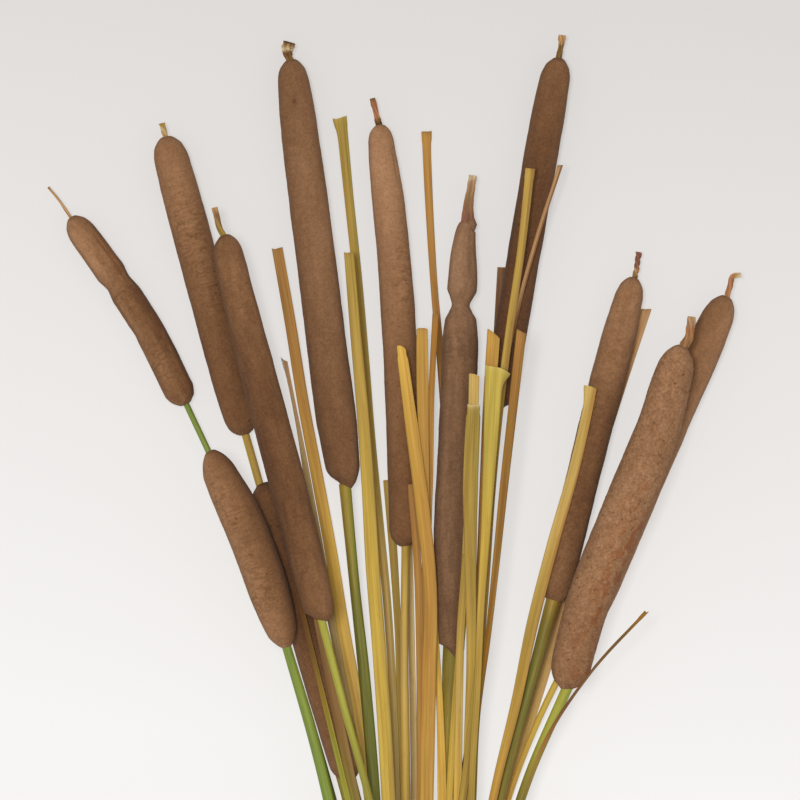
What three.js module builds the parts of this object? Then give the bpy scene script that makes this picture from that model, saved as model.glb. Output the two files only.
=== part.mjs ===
// A loose bunch of cut cattails with their dry leaf blades, laid down on a flat surface.
// Millimetres. X runs across the bunch, Y from the cut feet towards the tips, Z up from the surface.
// In plan each piece follows a route of [x, y, width] points. Its heights come from laying the
// pieces down one after another, as springy rods and straps, each on the surface or on those below.

import * as THREE from 'three';

// The bunch: its spread ends at y = 0, and below it the pieces gather into a narrow pile.
const FOOT_Y = -228;
const FOOT_Y_SCATTER = 7;
const PILE_X = 12;
const PILE_WIDTH = 72;
const TAIL_STEPS = 4;

// Gaps, in the pile and between the end faces of one cattail's pieces.
const REST_GAP = 0.6;
const FACE_GAP = 0.32;

// Sections
const STEM_SIDES = 8;
const SPIKE_SIDES = 12;
const TIP_SIDES = 6;
const LEAF_THICK = 1.1;
const LEAF_SHOULDER = 0.55;
const LEAF_LEAST = 3.2;
const CURLED_LEAF_LEAST = 1.4;
const STEM_RING_STEP = 48;
const LEAF_RING_STEP = 40;
const SPIKE_RING_STEP = 30;
const SPIKE_RING_CLEAR = 7.5;
const TIP_RING_STEP = 5;

// Rounded ends of a spike: their lengths in spike widths, how bluntly they round, the share of the
// width left at the very end, and the shares of their lengths at which they have rings.
const TOP_END_WIDTHS = 0.62;
const BOTTOM_END_WIDTHS = 0.55;
const END_BLUNTNESS = 2.2;
const END_BARE = 0.32;
const END_RINGS = [0, 0.14, 0.45];

// Rings across a dip, in reaches from its middle
const DIP_RINGS = [-1.6, -0.7, 0, 0.7, 1.6];

// Steps between two route points when distances along a curve are added up
const LENGTH_STEPS = 40;

// Spring and weight of dry plant matter, in newtons and millimetres
const STEM_STIFFNESS = 1500;
const LEAF_STIFFNESS = 1200;
const SPIKE_CORE_WIDTH = 5;
const STEM_WEIGHT = 5e-6;
const SPIKE_WEIGHT = 4e-6;
const LEAF_WEIGHT = 3e-6;

// Laying down: station step along a piece, contact spring, and its free fall in one step
const STATION_STEP = 6;
const CONTACT_SPRING = 60;
const FALL_STEP = 2;
const FALL_STEPS = 500;

// The gathered pile has settled together, as if each piece in it weighed this many times more
const PRESS = 8;
const PRESS_BELOW_Y = -20;

// Cattails, left to right. tip and stem are the bare stalk above and below the spike. dips are the
// waists of a spike, and a tapered spike has no rounded top.
const CATTAILS = {
  1: {
    tip: [[-176, 306.5, 1.3], [-171, 300.5, 1.3], [-165.5, 292.5, 1.7]],
    spike: [[-164.6, 291.2, 13], [-151, 272.4, 15.4], [-143, 261.4, 15.2], [-126.2, 235.9, 15.4],
      [-112.3, 208.2, 15.6], [-107, 198, 14]],
    stem: [[-106.2, 196.5, 3], [-95.5, 175.5, 3], [-84, 147.5, 3], [-71, 115, 3], [-58.5, 82.5, 3.2],
      [-48.5, 50, 3.2], [-39, 20, 3.2], [-33, 0, 3.2]],
    dips: [{ down: 40.5, depth: 1.3, reach: 4.5 }],
  },
  2: {
    tip: [[-119, 338.5, 3.2], [-117.6, 334, 3]],
    spike: [[-117.2, 331.5, 17], [-108.2, 298, 19], [-97.5, 257.5, 18.8], [-86.5, 216, 18.6],
      [-77.4, 183, 16.6]],
    stem: [[-76.4, 180, 4], [-68.4, 155.5, 4], [-62.5, 127.5, 4], [-55, 99, 4], [-47.5, 71, 4],
      [-40, 44, 4], [-32.5, 17.5, 4], [-27, 0, 4]],
  },
  3: {
    tip: [[-92.5, 296, 3.2], [-89.4, 284, 3.2]],
    spike: [[-88, 282, 13.5], [-84.5, 268, 15], [-79.2, 246, 16.6], [-67.2, 200, 18], [-54, 150, 18.2],
      [-38.9, 90, 16]],
    stem: [[-38.3, 87.5, 4], [-36.7, 80, 4], [-31.4, 60, 4], [-23, 30, 3.8], [-17.5, 10, 3.8], [-15, 0, 3.8]],
  },
  4: {
    tip: [],
    spike: [[-68, 158.5, 17], [-60, 130, 17.4], [-50.5, 98, 17.4], [-43.6, 74, 17.2], [-35.6, 46, 16.8],
      [-27.4, 18.5, 16], [-24.8, 10, 13]],
    stem: [[-24.2, 8, 6], [-22, 0, 5.6], [-19.2, -9, 5.2]],
  },
  5: {
    tip: [],
    spike: [[-94.6, 174.5, 14], [-86, 155.5, 19], [-78.7, 141, 20.8], [-70, 119, 21.4], [-64.4, 102, 20],
      [-59.6, 87, 15.6], [-56.4, 76.5, 10.5]],
    stem: [[-56, 74, 4.6], [-52.6, 60, 5], [-48.2, 46, 5.4], [-43.4, 31, 5.6], [-39, 17.5, 5.4],
      [-35.1, 0, 5.4]],
  },
  6: {
    tip: [[-55.2, 379, 7], [-56.5, 375, 5.5], [-55.6, 371.2, 4]],
    spike: [[-55, 370, 15], [-49.8, 330, 18.8], [-43, 278, 19.8], [-35.5, 218, 19.8], [-30.7, 182, 20.8],
      [-27.4, 156, 15]],
    stem: [[-27.2, 153.5, 6], [-25.7, 136, 5.2], [-23, 110.5, 5.2], [-19.6, 76, 5.4], [-16.4, 50, 6],
      [-14.4, 25, 6], [-12.6, 0, 5.6]],
  },
  7: {
    tip: [[-13.8, 351, 3.4], [-12.6, 346, 3], [-10.8, 338.8, 3.4]],
    spike: [[-10.4, 337.5, 12.2], [-8.2, 316, 14.4], [-4.9, 291, 16.4], [-0.8, 240, 17.2], [2, 180, 17.2],
      [2.7, 127, 16.4]],
    stem: [[2.5, 124.5, 4], [2.2, 100, 4], [2.4, 50, 4.2], [3.2, 0, 4.5]],
  },
  8: {
    tip: [[36.6, 312.3, 4.4], [35.5, 305, 4.4], [34.2, 297, 5.4], [33.9, 289.8, 7.2]],
    spike: [[33.8, 289, 7.6], [32.6, 282.5, 10.4], [31.9, 274.5, 12.8], [31.6, 267, 14.4], [31.2, 257, 15.4],
      [30.4, 247.4, 15.4], [30.2, 231, 18], [28.8, 195, 18], [26.4, 150, 17.6], [25.4, 128, 17.4],
      [25.2, 100, 16.4], [25.4, 84, 15], [25.6, 68, 11]],
    stem: [[24.8, 65.5, 9], [23.7, 50, 7], [23, 30, 5], [22.8, 12, 3.6], [22.8, 0, 3.6]],
    dips: [{ down: 41.6, depth: 3.2, reach: 5 }],
    tapered: true,
  },
  9: {
    tip: [[81.2, 382.5, 4.4], [80.6, 377.5, 3], [79.4, 372.2, 3]],
    spike: [[79.4, 371, 14], [74.5, 345, 17], [66.7, 300, 16.6], [57.3, 245, 16.4], [49, 193.5, 15]],
    stem: [[48.6, 191, 4], [46, 165, 4], [43.6, 130, 4], [40.5, 95, 4], [37.5, 55, 4],
      [35, 20, 4], [34, 0, 4]],
  },
  10: {
    tip: [[119.6, 274, 3.6], [118.6, 268, 2.8], [117.8, 262.2, 3.2]],
    spike: [[117.2, 261, 13.5], [108.9, 230, 17.2], [97.3, 185, 17], [86.3, 140, 16.6], [76.5, 99, 15]],
    stem: [[75.8, 96.8, 7.6], [69, 74.5, 6.8], [63, 49, 5.4], [56.5, 23.5, 4.6], [50, 0, 4.2]],
  },
  11: {
    tip: [[170.6, 262.6, 2.6], [167.5, 263.4, 3], [165.6, 259, 3], [164.2, 252.8, 3.2]],
    spike: [[163.5, 251.5, 14.5], [152, 226, 18.6], [129.8, 176, 18.6], [105, 117, 18], [89, 80, 15]],
    stem: [[88, 77.6, 3.6], [81, 62, 3.4], [73.2, 50, 3.2], [65.6, 30, 3.2], [57.6, 10, 3], [54, 0, 3]],
  },
  12: {
    tip: [[145.4, 241.5, 4.4], [143.2, 228.8, 4.8]],
    spike: [[141.2, 226.5, 15.6], [136, 212, 19], [130, 190, 21.8], [113.6, 148, 23.8], [97.2, 109, 21.8],
      [87.2, 76, 21.2], [83, 55.5, 18]],
    stem: [[81.6, 53, 5.4], [78.6, 50, 5.2], [71.8, 30, 4.6], [67.4, 20, 4.6], [63.4, 10, 4.8],
      [59.8, 0, 4.8]],
  },
};

// Leaf blades. The first point is the cut top, width is what shows from above, and a blade that
// shows less than its least width is rolled over on its edge. slant is the slope of the cut,
// against a square one, and it rises to the right.
const LEAVES = {
  1: {
    route: [[-61.5, 276, 5.4], [-56.3, 247, 5.6], [-51.8, 219, 5.6], [-47.4, 192.5, 5.8], [-42.5, 167, 6],
      [-36, 132.5, 6.2], [-29.5, 92, 6.5], [-24.2, 62, 6.5], [-19.2, 36, 6.2], [-14.5, 0, 6]],
    slant: 0.05,
  },
  2: {
    route: [[-57.4, 219.5, 5], [-54.6, 207.5, 4.4], [-51.7, 194, 2.4], [-48.7, 174, 2.1], [-46.2, 161, 2.2],
      [-41.5, 130, 5], [-35, 95, 5], [-31, 74.5, 5], [-25, 49, 5], [-19.5, 25, 5], [-15.5, 0, 5]],
    slant: -0.2,
  },
  3: {
    route: [[-29.5, 341.5, 6], [-28, 322.5, 5], [-25, 296.5, 4.6], [-22.7, 275, 4.6], [-20.1, 248.5, 4.6],
      [-17.9, 222.5, 4.6], [-15.9, 196.5, 4.6], [-13.2, 165, 4.6], [-9.6, 130, 4.6], [-6.6, 100, 4.2],
      [-4.8, 74.5, 4], [-3, 42, 3.6], [-1.6, 0, 3.4]],
    slant: 0.25,
  },
  4: {
    route: [[-25.5, 273.6, 5], [-23.6, 248.5, 5.2], [-21.1, 222, 5.6], [-18.8, 196, 6], [-16.8, 170.5, 6.4],
      [-12.8, 103, 7], [-10.3, 74.5, 7], [-8.4, 49, 7], [-7.2, 23.5, 7], [-5.7, 0, 7]],
    slant: -0.05,
  },
  5: {
    route: [[-6.2, 160, 4.6], [-4.8, 138, 4.4], [-2.2, 110, 4], [-1.2, 90, 3.4], [-0.4, 60, 3.2],
      [0.2, 23.5, 3.2], [1, 0, 3.2]],
    slant: 0.05,
  },
  6: {
    route: [[13, 334.5, 5], [13.6, 314, 4.2], [15.2, 288, 3.8], [16.6, 265, 3.6], [18.4, 240, 3.6],
      [20.8, 216, 4.2], [23.5, 175, 4.4], [25.5, 125, 4.4], [26.5, 75, 4.4], [27.5, 30, 4],
      [28.5, 0, 4]],
    slant: 0,
  },
  7: {
    route: [[17.6, 243, 2], [16.2, 224.5, 2.4], [15.6, 200, 3], [15.2, 170, 3.2], [14.2, 138, 3],
      [14.6, 115, 3], [17, 90, 3], [19, 68, 2.6], [20.4, 30, 4], [21, 0, 4.5]],
    slant: 0,
  },
  8: {
    route: [[11, 236, 5.4], [10.6, 218, 6.6], [11.4, 199, 6], [12.4, 172, 4.6], [12.6, 150, 4.2],
      [13.4, 100, 4.6], [14, 50, 4.6], [14, 0, 4.6]],
    slant: 0,
  },
  9: {
    route: [[0.5, 227, 3.6], [2.6, 212, 5], [5.1, 192.5, 6.4], [7.2, 176.5, 6.6], [9.1, 160.5, 6.6],
      [11.4, 145, 7], [13.6, 130, 5.8], [14.6, 115, 5.8], [15.4, 98, 6.8], [15, 75, 7], [14, 49, 7],
      [13.8, 23.5, 7], [13.4, 0, 6.4]],
    slant: -0.6,
  },
  10: {
    route: [[5.4, 158, 3], [7.2, 141, 3.2], [8.8, 117, 4], [9.8, 94, 4.4], [10.4, 50, 4.4], [10.4, 0, 4.4]],
    slant: 0,
  },
  11: {
    route: [[37, 213, 5.2], [36.6, 197, 5.4], [36, 172, 5], [34, 135, 5], [31.8, 100, 4.4], [29.4, 68, 4],
      [27, 40, 3.6], [25.2, 12, 3.4], [24.6, 0, 3.6]],
    slant: -0.2,
  },
  12: {
    route: [[36.7, 197.5, 5.6], [36.3, 184, 7], [35.7, 170, 7.5], [34.9, 150, 7.6], [34.5, 128, 7.2],
      [35.6, 108, 5.2], [35.7, 80, 4.8], [35.1, 60, 4.7], [34, 30, 4.2], [33, 0, 3.6]],
    slant: 0.1,
  },
  13: {
    route: [[33, 123, 3.4], [31, 100, 4], [30, 74.5, 4], [29.6, 48, 3.6], [28.8, 22, 3.8], [28.8, 0, 4.4]],
    slant: 0,
  },
  14: {
    route: [[47, 216.5, 10], [45.8, 209, 9], [45.4, 192.5, 7.6], [44.7, 170, 6.6], [43.5, 150, 5.4],
      [42.4, 130, 4.6], [41.1, 110, 4], [40.2, 95, 3.6], [38.8, 62, 3.5], [37, 33, 3.4], [35.6, 0, 3.4]],
    slant: 0,
  },
  15: {
    route: [[46.8, 233.5, 6.4], [46, 215, 6.4], [43.9, 190, 6], [43, 170, 5.6], [41.8, 145, 5],
      [40.6, 120, 4.4], [39.2, 95, 4.4], [36.6, 50, 4], [32.6, 0, 4]],
    slant: -0.75,
  },
  16: {
    route: [[65, 315.5, 5.2], [63.8, 302, 4.6], [61.7, 284, 4.1], [58.8, 264, 3.9], [56.7, 250, 3.9],
      [54.2, 232, 4], [52, 214, 4], [49, 190, 4], [45.7, 155, 4], [43, 115, 4], [40, 75, 4],
      [35.6, 35, 4], [31, 0, 4]],
    slant: 0,
  },
  17: {
    route: [[80, 317, 3.2], [74.8, 301, 2.1], [68.6, 282, 1.9], [63, 262, 1.9], [58.8, 246, 1.9],
      [54, 226, 2], [50.2, 205, 2.2], [47, 178, 2.4], [43.6, 135, 2.6], [40.4, 90, 2.6], [36, 45, 2.6],
      [30, 0, 2.8]],
    slant: 0.3,
  },
  18: {
    route: [[60.4, 234, 5], [58.2, 214, 4.8], [56, 195, 4.6], [53.6, 174, 4.6], [51.2, 152, 4.2],
      [48.8, 128, 3.7], [46.6, 107, 3.4], [44.6, 88, 2.9], [41.8, 66, 2.4], [38.6, 40, 2.4], [36.8, 0, 2.6]],
    slant: -0.35,
  },
  19: {
    route: [[51.2, 266.5, 4.8], [49.4, 235.5, 4.8], [47.4, 200, 4.8], [45, 160, 4.6], [42, 110, 4.4],
      [37.4, 55, 4.2], [33, 0, 4.2]],
    slant: 0,
  },
  20: {
    route: [[96.2, 206.5, 4.4], [93.9, 195, 4.7], [90.3, 177, 5.3], [84.6, 158, 5.8], [79.8, 140, 6],
      [75, 123, 6], [70.2, 104, 6], [65, 83.5, 5.9], [58.6, 52, 5.2], [53.6, 29, 4.6], [48.2, 9, 4.3],
      [46, 0, 4.2]],
    slant: -0.15,
  },
  21: {
    route: [[122.8, 245.6, 6.2], [113.4, 217, 6], [103.4, 185, 5.6], [95, 155, 5.4], [87.6, 122, 5.4],
      [79.4, 88, 5.6], [71.4, 60, 5.6], [68.4, 50, 5], [62.3, 30, 4.4], [55.9, 10, 4], [52.6, 0, 4]],
    slant: 0.3,
  },
  22: {
    route: [[122.6, 94.4, 3.4], [119.2, 90.4, 2], [116.4, 87.6, 1.3], [108.4, 78.6, 1.2], [97, 66.6, 1.2],
      [86.4, 52, 1.4], [76.6, 38, 1.8], [70.7, 25, 2], [66.4, 15, 2.4], [60.8, 0, 3]],
    slant: 0,
    least: CURLED_LEAF_LEAST,
  },
  23: {
    route: [[-52, 108, 2.2], [-49, 97.5, 2.2], [-45.5, 80, 2.2], [-41.4, 64, 2.4], [-34, 34, 2.6],
      [-30.2, 17.5, 2.8], [-25.8, 0, 2.8]],
    slant: 0,
  },
  24: {
    route: [[4.4, 137, 2.6], [5, 124, 2.8], [5.4, 100, 3.2], [6.4, 50, 3.3], [7.2, 0, 3.5]],
    slant: 0,
  },
  25: {
    route: [[-41.2, 94, 4.6], [-37.8, 80, 5], [-32.6, 50, 5.2], [-28.2, 30, 5.2], [-24.8, 12, 5.2],
      [-21.8, 0, 5]],
    slant: 0,
  },
};

// The order in which the pieces are laid down, from the lowest to the topmost.
const LAID_DOWN = [
  'leaf 21', 'cattail 11', 'leaf 19', 'cattail 9', 'cattail 2', 'cattail 1', 'leaf 2', 'leaf 1',
  'cattail 4', 'leaf 25', 'cattail 6', 'leaf 23', 'leaf 5', 'leaf 24', 'leaf 6', 'leaf 3', 'leaf 4',
  'cattail 7', 'leaf 10', 'leaf 17', 'leaf 15', 'cattail 8', 'leaf 7', 'leaf 8', 'leaf 11',
  'leaf 13', 'leaf 12', 'leaf 16', 'leaf 18', 'leaf 14', 'leaf 9', 'cattail 10', 'leaf 20',
  'cattail 3', 'cattail 5', 'cattail 12', 'leaf 22',
];

// Finishes, one for each kind of piece, and the numbers of the stems and blades that aren't straw or gold
const GREEN_STEM = { color: 0x6f8f4c, roughness: 0.6 };
const STRAW_STEM = { color: 0x9a8a48, roughness: 0.6 };
const SPIKE_BROWN = { color: 0x7d5c44, roughness: 0.95 };
const TIP_TAN = { color: 0x9a7450, roughness: 0.85 };
const GOLD_LEAF = { color: 0xc49a4c, roughness: 0.6 };
const GREEN_LEAF = { color: 0xa9a450, roughness: 0.6 };
const BROWN_LEAF = { color: 0x9a7340, roughness: 0.6 };
const GREEN_STEMS = ['1', '3', '5', '11', '12'];
const GREEN_LEAVES = ['3', '4', '12', '13', '14', '23', '24'];
const BROWN_LEAVES = ['1', '2', '7', '10', '11', '15', '17', '19', '21', '22', '25'];

/** A small repeatable offset between -size and size, different for each number. */
function scatter(number, size) {
  return size * Math.sin(number * 2.399);
}

/** The route of a piece named in LAID_DOWN, from its top to the edge of the spread. */
function routeOf(entry) {
  const [kind, number] = entry.split(' ');
  if (kind === 'leaf') return LEAVES[number].route;
  const { tip, spike, stem } = CATTAILS[number];
  return [...tip, ...spike, ...stem];
}

// The pieces from left to right where they cross the edge of the spread: the feet keep this order.
const FEET = [...LAID_DOWN].sort((a, b) => routeOf(a).at(-1)[0] - routeOf(b).at(-1)[0]);

/** The points that carry a piece's route on from the edge of the spread down into the pile. */
function tailOf(entry) {
  const route = routeOf(entry);
  const [beforeX, beforeY] = route.at(-2);
  const [edgeX, edgeY, width] = route.at(-1);
  const place = FEET.indexOf(entry);
  const footX = PILE_X + PILE_WIDTH * (place / (FEET.length - 1) - 0.5);
  const footY = FOOT_Y + scatter(place, FOOT_Y_SCATTER);
  const lean = ((edgeX - beforeX) / (beforeY - edgeY)) * (edgeY - footY);
  const points = [];
  for (let step = 1; step <= TAIL_STEPS; step += 1) {
    const t = step / TAIL_STEPS;
    const ease = t * t * (3 - 2 * t);
    const x = edgeX + (footX - edgeX) * ease + lean * t * (1 - t) ** 2;
    points.push([x, edgeY + (footY - edgeY) * t, width]);
  }
  return points;
}

/** A smooth plan curve through route points, with places given by their distance along it. */
class Plan {
  constructor(points) {
    const knots = points.map(([x, y]) => new THREE.Vector3(x, y, 0));
    this.curve = new THREE.CatmullRomCurve3(knots, false, 'centripetal');
    this.curve.arcLengthDivisions = (knots.length - 1) * LENGTH_STEPS;
    this.length = this.curve.getLength();
    const lengths = this.curve.getLengths();
    this.knots = points.map((point, i) => lengths[i * LENGTH_STEPS]);
  }

  /** The plan point at distance s. */
  at(s) {
    return this.curve.getPointAt(THREE.MathUtils.clamp(s / this.length, 0, 1));
  }
}

/** A width that passes smoothly through values given at rising places. */
function blend(places, values, s) {
  if (s <= places[0]) return values[0];
  for (let i = 1; i < places.length; i += 1) {
    if (s <= places[i]) {
      const t = (s - places[i - 1]) / (places[i] - places[i - 1]);
      return THREE.MathUtils.lerp(values[i - 1], values[i], t * t * (3 - 2 * t));
    }
  }
  return values.at(-1);
}

/** How much of the full width is left at a distance inside a rounded end of the given length. */
function roundedEnd(inside, length) {
  const t = THREE.MathUtils.clamp(inside / length, 0, 1);
  return Math.max(END_BARE, (1 - (1 - t) ** END_BLUNTNESS) ** (1 / END_BLUNTNESS));
}

/**
 * A cattail or a leaf blade before it is laid down: its plan, and at every place along it a
 * section that is a level bar of half-length core, thickened by radius all round and
 * stretched upwards by rise where the blade is rolled on its edge.
 */
class Piece {
  constructor(points, sectionAt) {
    this.plan = new Plan(points);
    const count = Math.ceil(this.plan.length / STATION_STEP);
    this.step = this.plan.length / count;
    this.stations = [];
    for (let i = 0; i <= count; i += 1) {
      const s = i * this.step;
      this.stations.push({ s, ...this.plan.at(s), ...sectionAt(s) });
    }
  }

  /** The height of the centre line at distance s, once the piece is laid down. */
  heightAt(s) {
    const place = THREE.MathUtils.clamp(s / this.step, 0, this.stations.length - 1);
    const i = Math.min(Math.floor(place), this.stations.length - 2);
    const [a, b, c, d] = [i - 1, i, i + 1, i + 2].map((k) => {
      return this.heights[THREE.MathUtils.clamp(k, 0, this.heights.length - 1)];
    });
    const t = place - i;
    const bend = (2 * a - 5 * b + 4 * c - d) * t * t + (3 * b - a - 3 * c + d) * t * t * t;
    return b + 0.5 * ((c - a) * t + bend);
  }

  /** The centre line's point in space at distance s. */
  pointAt(s) {
    return this.plan.at(s).setZ(this.heightAt(s));
  }

  /** The direction of the centre line, its level crosswise direction and the one over both. */
  frameAt(s) {
    const ahead = this.pointAt(Math.min(s + 1, this.plan.length));
    const along = ahead.sub(this.pointAt(Math.max(s - 1, 0))).normalize();
    const across = new THREE.Vector3(-along.y, along.x, 0).normalize().negate();
    const over = new THREE.Vector3().crossVectors(across, along).normalize();
    return { along, across, over };
  }
}

/** How high one station must lie over a stretch between two stations of a lower piece. */
function heightOver(station, from, to) {
  const runX = to.x - from.x;
  const runY = to.y - from.y;
  const reachX = station.x - from.x;
  const reachY = station.y - from.y;
  const along = (reachX * runX + reachY * runY) / (runX * runX + runY * runY);
  const t = THREE.MathUtils.clamp(along, 0, 1);
  const mix = (name) => from[name] + (to[name] - from[name]) * t;
  const apart = Math.hypot(reachX - runX * t, reachY - runY * t);
  const radius = station.radius + mix('radius') + REST_GAP;
  const beyond = Math.max(0, apart - station.core - mix('core'));
  if (beyond >= radius) return -Infinity;
  return mix('z') + station.rise + mix('rise') + Math.sqrt(radius * radius - beyond * beyond);
}

/** The least heights of a piece's stations over the surface and the pieces laid before it. */
function leastHeights(piece, lower) {
  return piece.stations.map((station) => {
    let height = station.radius + station.rise;
    for (const other of lower) {
      for (let i = 1; i < other.stations.length; i += 1) {
        height = Math.max(height, heightOver(station, other.stations[i - 1], other.stations[i]));
      }
    }
    return height;
  });
}

/** Solves a symmetric system with two bands beside its main diagonal. */
function solveBanded(main, near, far, right) {
  const count = main.length;
  const pivot = new Float64Array(count);
  const lowNear = new Float64Array(count);
  const lowFar = new Float64Array(count);
  const found = new Float64Array(count);
  for (let i = 0; i < count; i += 1) {
    const one = i > 0 ? lowNear[i - 1] : 0;
    const two = i > 1 ? lowFar[i - 2] : 0;
    const cross = i > 0 ? lowFar[i - 1] : 0;
    pivot[i] = main[i] - one * one * (pivot[i - 1] ?? 0) - two * two * (pivot[i - 2] ?? 0);
    lowNear[i] = (near[i] - one * cross * (pivot[i - 1] ?? 0)) / pivot[i];
    lowFar[i] = far[i] / pivot[i];
    found[i] = right[i] - one * (found[i - 1] ?? 0) - two * (found[i - 2] ?? 0);
  }
  for (let i = count - 1; i >= 0; i -= 1) {
    const after = lowNear[i] * (found[i + 1] ?? 0) + lowFar[i] * (found[i + 2] ?? 0);
    found[i] = found[i] / pivot[i] - after;
  }
  return found;
}

/** Lets a springy piece fall on its least heights until it lies still. */
function layDown(piece, lower) {
  const least = leastHeights(piece, lower);
  const count = least.length;
  const main = new Float64Array(count);
  const near = new Float64Array(count);
  const far = new Float64Array(count);
  for (let i = 1; i < count - 1; i += 1) {
    const bend = piece.stations[i].stiffness / piece.step ** 3;
    main[i - 1] += bend;
    main[i] += 4 * bend;
    main[i + 1] += bend;
    near[i - 1] -= 2 * bend;
    near[i] -= 2 * bend;
    far[i - 1] += bend;
  }
  const weights = piece.stations.map(({ y, weight }) => {
    return weight * (y < PRESS_BELOW_Y ? PRESS : 1) * piece.step;
  });
  let heights = new Float64Array(count).fill(Math.max(...least));
  for (let fall = 0; fall < FALL_STEPS; fall += 1) {
    const held = heights.map((z, i) => (z < least[i] ? CONTACT_SPRING : 0));
    const drags = weights.map((weight) => weight / FALL_STEP);
    const stiff = main.map((value, i) => value + drags[i] + held[i]);
    const load = heights.map((z, i) => drags[i] * z + held[i] * least[i] - weights[i]);
    heights = solveBanded(stiff, near, far, load);
  }
  piece.heights = heights;
  piece.stations.forEach((station, i) => {
    station.z = heights[i];
  });
}

/** A cattail: one stalk whose tip, spike and stem share a centre line. */
function makeCattail(number) {
  const { tip, spike, stem, dips = [], tapered = false } = CATTAILS[number];
  const route = [...tip, ...spike, ...stem];
  const points = [...route, ...tailOf(`cattail ${number}`)];
  const plan = new Plan(points);
  const widths = points.map((point) => point[2]);
  const top = plan.knots[tip.length];
  const bottom = plan.knots[tip.length + spike.length - 1];
  const spikeFrom = tip.length;
  const spikeTo = tip.length + spike.length;
  const part = (from, to) => [plan.knots.slice(from, to), widths.slice(from, to)];
  const girths = { tip: part(0, spikeFrom), spike: part(spikeFrom, spikeTo), stem: part(spikeTo) };
  const topEnd = widths[spikeFrom + 1] * TOP_END_WIDTHS;
  const bottomEnd = widths[spikeTo - 2] * BOTTOM_END_WIDTHS;

  /** Half the width of the named part at distance s. */
  const halfWidth = (name, s) => {
    let half = blend(...girths[name], s) / 2;
    if (name === 'spike') {
      half *= tapered ? 1 : roundedEnd(s - top, topEnd);
      half *= roundedEnd(bottom - s, bottomEnd);
      for (const { down, depth, reach } of dips) {
        half -= depth * Math.exp(-(((s - top - down) / reach) ** 2));
      }
    }
    return half;
  };
  const sectionAt = (s) => {
    const name = s < top ? 'tip' : s <= bottom ? 'spike' : 'stem';
    const radius = halfWidth(name, s);
    const core = name === 'spike' ? SPIKE_CORE_WIDTH / 2 : radius;
    const density = name === 'spike' ? SPIKE_WEIGHT : STEM_WEIGHT;
    return {
      core: 0,
      rise: 0,
      radius,
      stiffness: STEM_STIFFNESS * Math.PI * core ** 4 / 4,
      weight: density * Math.PI * radius ** 2,
    };
  };
  const piece = new Piece(points, sectionAt);
  return Object.assign(piece, { number, kind: 'cattail', top, bottom, topEnd, bottomEnd, dips, halfWidth });
}

/** A leaf blade: a long strap, flat or rolled on its edge. */
function makeLeaf(number) {
  const { route, slant, least = LEAF_LEAST } = LEAVES[number];
  const points = [...route, ...tailOf(`leaf ${number}`)];
  const plan = new Plan(points);
  const seen = points.map((point) => point[2]);
  const bladeAt = (s) => {
    const shown = blend(plan.knots, seen, s);
    const full = Math.max(shown, least);
    return { full, roll: Math.acos(shown / full) * (number % 2 ? 1 : -1) };
  };
  const sectionAt = (s) => {
    const { full, roll } = bladeAt(s);
    const radius = LEAF_THICK / 2;
    const core = full / 2 - radius;
    const flat = full * LEAF_THICK ** 3 * Math.cos(roll) ** 2;
    const edge = LEAF_THICK * full ** 3 * Math.sin(roll) ** 2;
    return {
      core: core * Math.cos(roll),
      rise: core * Math.abs(Math.sin(roll)),
      radius,
      stiffness: LEAF_STIFFNESS * (flat + edge) / 12,
      weight: LEAF_WEIGHT * full * LEAF_THICK,
    };
  };
  const piece = new Piece(points, sectionAt);
  return Object.assign(piece, { number, kind: 'leaf', bladeAt, slant });
}

/** A closed skin over rings of points, each with the same number of them, capped at both ends. */
function skin(rings) {
  const sides = rings[0].length;
  const positions = rings.flat().flatMap((point) => [point.x, point.y, point.z]);
  const faces = [];
  for (let ring = 1; ring < rings.length; ring += 1) {
    for (let side = 0; side < sides; side += 1) {
      const next = (side + 1) % sides;
      const [a, b] = [(ring - 1) * sides + side, (ring - 1) * sides + next];
      const [c, d] = [ring * sides + side, ring * sides + next];
      faces.push(a, c, b, b, c, d);
    }
  }
  const last = (rings.length - 1) * sides;
  for (let side = 1; side < sides - 1; side += 1) {
    faces.push(0, side, side + 1);
    faces.push(last, last + side + 1, last + side);
  }
  const geometry = new THREE.BufferGeometry();
  geometry.setAttribute('position', new THREE.Float32BufferAttribute(positions, 3));
  geometry.setIndex(faces);
  geometry.computeVertexNormals();
  return geometry;
}

/** Evenly spaced places from one distance to another, about a step apart. */
function places(from, to, step) {
  const count = Math.max(1, Math.round((to - from) / step));
  return Array.from({ length: count + 1 }, (_, i) => from + (to - from) * i / count);
}

/** Rings of a round piece at the given places. */
function roundRings(piece, name, sides, at) {
  return at.map((s) => {
    const { across, over } = piece.frameAt(s);
    const radius = piece.halfWidth(name, s);
    return Array.from({ length: sides }, (_, i) => {
      const turn = 2 * Math.PI * i / sides;
      return piece.pointAt(s)
        .addScaledVector(across, radius * Math.cos(turn))
        .addScaledVector(over, radius * Math.sin(turn));
    });
  });
}

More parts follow.
